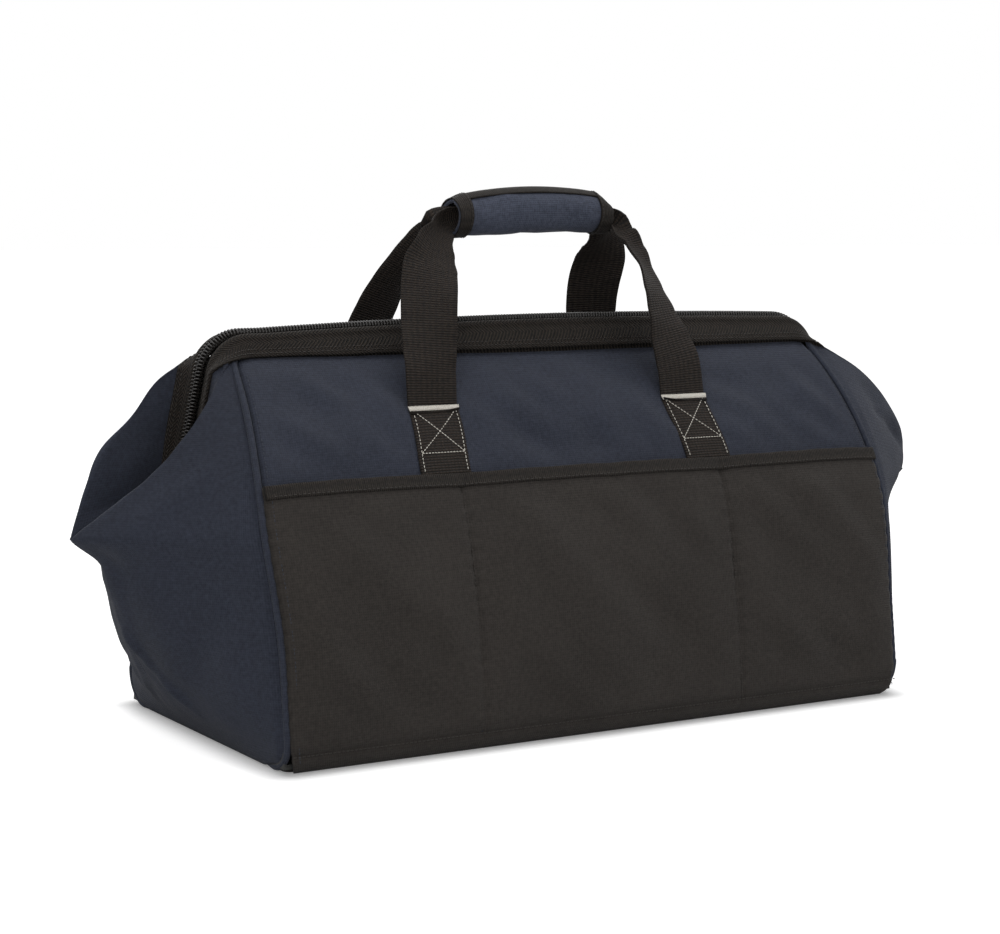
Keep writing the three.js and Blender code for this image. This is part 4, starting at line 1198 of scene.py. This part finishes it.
class Bag_OT_grip(bpy.types.Operator):
    """Makes the grip: its padded wrap and flap, their bindings, and the hook and loop strips."""
    bl_idname = "bag.grip"
    bl_label = "Grip"

    def execute(self, context):
        form = Form()
        half = form.grip_length / 2
        halves = (("wrap", (-89.3, 89.3), "back_handle", 61),
                  ("flap", (90.7, 269.3), "grip_flap_body", 67))
        for part, degrees, body, seed in halves:
            # The grip's cover is painted paler than the navy, as painted light
            cover = piece(f"grip_{part}_cover",
                          grip_shell(form, degrees, (-half, half), 0, 40, 110, seed),
                          "woven_slate_polyester", [f"grip_{part}"], body=body,
                          cloth=2.6)
            for end, name in ENDS:
                span = sorted((end * (half + 0.6), end * (half - 11)))
                bm = grip_shell(form, degrees, span, 1.6, 40, 12)
                piece(f"grip_{part}_{name}_end_binding", bm, "grosgrain_ribbon",
                      [f"grip_{part}_{name}_binding"], body=body, cloth=1.1)
                stitches = run_of(lambda t: grip_point(form, end * (half - 9.6),
                                                       math.radians(lerp(*degrees, t)), 1.8),
                                  lambda t: Vector((0, math.cos(math.radians(lerp(*degrees, t))),
                                                    math.sin(math.radians(lerp(*degrees, t))))), 17)
                piece(f"grip_{part}_{name}_end_stitches", stitch_mesh(stitches, 2.4, 0.3),
                      "black_polyester_thread", body=body)
        span = (-half + 9, half - 9)
        bm = grip_shell(form, (90.7, 129), span, 1.4, 14, 80)
        piece("grip_flap_top_binding", bm, "grosgrain_ribbon",
              ["grip_flap_edge_binding"], body="grip_flap_body", cloth=1.1)
        bm = grip_shell(form, (96, 124), (-48, 48), -3.3, 12, 40)
        piece("grip_hook_tape", bm, "nylon_hook_and_loop", ["grip_hook_strip"],
              body="grip_flap_body", cloth=0.8)
        bm = grip_shell(form, (62, 124), (-48, 48), -4.4, 20, 40)
        piece("grip_loop_tape", bm, "nylon_hook_and_loop", ["grip_loop_strip"],
              body="back_handle", cloth=0.8)
        return {"FINISHED"}


# Stage

class Bag_OT_stage(bpy.types.Operator):
    """Makes the pale floor, the soft studio lights and the camera."""
    bl_idname = "bag.stage"
    bl_label = "Floor, lights and camera"

    def execute(self, context):
        tree, shader = new_material("matt_white_paper", 0.9)
        shader.inputs["Base Color"].default_value = linear("#f2f2f2")
        place = add_node(tree, "ShaderNodeTexCoord").outputs["Object"]
        parts = add_node(tree, "ShaderNodeSeparateXYZ", links={"Vector": place}).outputs
        corner = add_node(tree, "ShaderNodeCombineXYZ")
        for axis, foot in (("X", 0.243), ("Y", 0.113)):
            far = math_node(tree, "ABSOLUTE", parts[axis], 0.0)
            past = math_node(tree, "MAXIMUM", math_node(tree, "SUBTRACT", far, foot), 0.0)
            tree.links.new(past, corner.inputs[axis])
        away = add_node(tree, "ShaderNodeVectorMath", settings={"operation": "LENGTH"})
        tree.links.new(corner.outputs["Vector"], away.inputs[0])
        # White paper whose emission, seen only by camera rays, is lowered next to the bag's foot as
        # a painted contact shadow, so that only this narrow shadow around the foot stays
        spread = add_node(tree, "ShaderNodeMapRange", settings={"interpolation_type": "SMOOTHSTEP"},
                          values={"From Min": 0.0, "From Max": 0.03, "To Min": 0.2, "To Max": 0.84},
                          links={"Value": away.outputs["Value"]})
        glow_with_painted_shadow = add_node(tree, "ShaderNodeEmission", links={"Strength": spread.outputs["Result"]})
        seen = add_node(tree, "ShaderNodeLightPath").outputs["Is Camera Ray"]
        both = add_node(tree, "ShaderNodeAddShader")
        tree.links.new(shader.outputs["BSDF"], both.inputs[0])
        tree.links.new(glow_with_painted_shadow.outputs["Emission"], both.inputs[1])
        shown = add_node(tree, "ShaderNodeMixShader")
        tree.links.new(seen, shown.inputs["Fac"])
        tree.links.new(shader.outputs["BSDF"], shown.inputs[1])
        tree.links.new(both.outputs["Shader"], shown.inputs[2])
        output = next(n for n in tree.nodes if n.type == "OUTPUT_MATERIAL")
        tree.links.new(shown.outputs["Shader"], output.inputs["Surface"])

        bm = bmesh.new()
        bmesh.ops.create_grid(bm, x_segments=8, y_segments=8, size=9.0)
        mesh = bpy.data.meshes.new("floor")
        bm.to_mesh(mesh)
        bm.free()
        mesh.materials.append(bpy.data.materials["matt_white_paper"])
        floor = bpy.data.objects.new("floor", mesh)
        floor.location.z = -0.0006
        context.scene.collection.objects.link(floor)

        world = bpy.data.worlds.new("studio")
        context.scene.world = world
        world.use_nodes = True
        tree = world.node_tree
        tree.nodes.clear()
        path = add_node(tree, "ShaderNodeLightPath").outputs
        plain = math_node(tree, "MAXIMUM", path["Is Camera Ray"], path["Is Glossy Ray"])
        plain = math_node(tree, "MAXIMUM", plain, path["Is Transmission Ray"])
        strength = add_node(tree, "ShaderNodeMapRange", values={"To Min": 0.19, "To Max": 1.0},
                            links={"Value": plain})
        sky = add_node(tree, "ShaderNodeBackground", links={"Strength": strength.outputs["Result"]})
        sky.inputs["Color"].default_value = (1.0, 1.0, 1.0, 1.0)
        add_node(tree, "ShaderNodeOutputWorld", links={"Surface": sky.outputs["Background"]})

        lamps = (
            ("overhead_softbox", (0.1, -0.1, 2.2), (0, 0, 0.1), 1.6, 15.0),
            ("key_softbox", (-1.6, -1.7, 1.1), (0, 0, 0.15), 1.0, 11.0),
            ("right_softbox", (1.9, -1.6, 1.0), (0, 0, 0.15), 1.2, 3.0),
            ("back_softbox", (0.8, 2.2, 1.5), (0, 0, 0.15), 1.5, 3.0),
        )
        for name, place, target, size, power in lamps:
            lamp = bpy.data.lights.new(name, "AREA")
            lamp.shape = "SQUARE"
            lamp.size = size
            lamp.energy = power
            obj = bpy.data.objects.new(name, lamp)
            obj.location = place
            aim = Vector(target) - Vector(place)
            obj.rotation_euler = aim.to_track_quat("-Z", "Y").to_euler()
            context.scene.collection.objects.link(obj)

        camera = bpy.data.cameras.new("camera")
        camera.sensor_width = 36
        camera.sensor_fit = "HORIZONTAL"
        camera.lens = 85.49
        camera.clip_start, camera.clip_end = 0.05, 50
        # Fitted to the photo
        eye = (-0.9107, -1.4117, 0.3744)
        yaw, pitch, roll = math.radians(32.277), math.radians(7.016), math.radians(0.794)
        ahead = Vector((math.sin(yaw) * math.cos(pitch), math.cos(yaw) * math.cos(pitch),
                        -math.sin(pitch)))
        level = Vector((math.cos(yaw), -math.sin(yaw), 0))
        upright = level.cross(ahead)
        right = level * math.cos(roll) + upright * math.sin(roll)
        up = upright * math.cos(roll) - level * math.sin(roll)
        turn = Matrix((right, up, -ahead)).transposed().to_4x4()
        obj = bpy.data.objects.new("camera", camera)
        obj.matrix_world = Matrix.Translation(eye) @ turn
        context.scene.collection.objects.link(obj)
        context.scene.camera = obj
        context.scene.view_settings.view_transform = "Standard"
        return {"FINISHED"}


# What a user may change

class BagSizes(bpy.types.PropertyGroup):
    bag_length: bpy.props.FloatProperty(
        name="Length", description="Length of the base between its end seams",
        default=0.5, unit="LENGTH")
    base_depth: bpy.props.FloatProperty(
        name="Base depth", description="Depth of the base from front to back",
        default=0.25, unit="LENGTH")
    panel_top: bpy.props.FloatProperty(
        name="Wall height", description="Height at which the walls meet the mouth's webbing",
        default=0.2565, unit="LENGTH")
    mouth_half: bpy.props.FloatProperty(
        name="Mouth half depth", description="Distance of each wall's top edge from the zip",
        default=0.02, unit="LENGTH")
    pocket_top: bpy.props.FloatProperty(
        name="Pocket top", description="Height of the pockets' top edge",
        default=0.178, unit="LENGTH")
    divider_place: bpy.props.FloatProperty(
        name="Divider seams",
        description="Distance of the pockets' two dividing seams from the middle",
        default=0.106, unit="LENGTH")
    pocket_depth: bpy.props.FloatProperty(
        name="Pocket slack", description="How far the pocket cloth stands off the wall",
        default=0.0052, unit="LENGTH")
    piping_radius: bpy.props.FloatProperty(
        name="Piping radius", description="Radius of the covered cord in the end seams",
        default=0.0022, unit="LENGTH")
    strap_width: bpy.props.FloatProperty(
        name="Strap width", description="Width of the handle webbing",
        default=0.038, unit="LENGTH")
    strap_place: bpy.props.FloatProperty(
        name="Strap place",
        description="Distance of each strap from the middle where it leaves the wall",
        default=0.103, unit="LENGTH")
    zip_height: bpy.props.FloatProperty(
        name="Zip height", description="Height of the zip's top run",
        default=0.269, unit="LENGTH")
    zip_corner: bpy.props.FloatProperty(
        name="Zip corner", description="Where the zip's top run and its legs would meet",
        default=0.2476, unit="LENGTH")
    tooth_pitch: bpy.props.FloatProperty(
        name="Coil pitch", description="Distance from one turn of the zip's coil to the next",
        default=0.0023, unit="LENGTH")
    grip_length: bpy.props.FloatProperty(
        name="Grip length", description="Length of the padded grip",
        default=0.14, unit="LENGTH")


class BagColours(bpy.types.PropertyGroup):
    navy: bpy.props.StringProperty(
        name="Navy", description="Navy cloth where it is lit, as an sRGB hex value",
        default="#3b404f")
    navy_shade: bpy.props.StringProperty(
        name="Navy shade", description="Navy cloth between its yarns, as an sRGB hex value",
        default="#232733")
    black: bpy.props.StringProperty(
        name="Black", description="Black cloth where it is lit, as an sRGB hex value",
        default="#3f3a36")
    black_shade: bpy.props.StringProperty(
        name="Black shade", description="Black cloth between its yarns, as an sRGB hex value",
        default="#26221f")


STEPS = ("materials", "base", "walls", "piping", "strap_feet", "mouth", "gussets", "straps", "grip",
         "stage")


class Bag_PT_panel(bpy.types.Panel):
    """Lists the bag's sizes, its colours and the steps that make it."""
    bl_idname = "BAG_PT_panel"
    bl_label = "Zippered tool bag"
    bl_space_type = "VIEW_3D"
    bl_region_type = "UI"
    bl_category = "Tool bag"

    def draw(self, context):
        layout = self.layout
        for group in (context.scene.bag_sizes, context.scene.bag_colours):
            for name in group.bl_rna.properties.keys():
                if name not in ("rna_type", "name"):
                    layout.prop(group, name)
        for step in STEPS:
            layout.operator(f"bag.{step}")


CLASSES = (BagSizes, BagColours,
           Bag_OT_materials, Bag_OT_base, Bag_OT_walls, Bag_OT_piping,
           Bag_OT_strap_feet, Bag_OT_mouth, Bag_OT_gussets, Bag_OT_straps, Bag_OT_grip,
           Bag_OT_stage, Bag_PT_panel)


def register():
    for cls in CLASSES:
        bpy.utils.register_class(cls)
    bpy.types.Scene.bag_sizes = bpy.props.PointerProperty(type=BagSizes)
    bpy.types.Scene.bag_colours = bpy.props.PointerProperty(type=BagColours)


def unregister():
    del bpy.types.Scene.bag_colours
    del bpy.types.Scene.bag_sizes
    for cls in reversed(CLASSES):
        bpy.utils.unregister_class(cls)


def main():
    register()
    for step in STEPS:
        if getattr(bpy.ops.bag, step)() != {"FINISHED"}:
            raise RuntimeError(f"the step {step} did not finish")


if __name__ == "__main__":
    main()
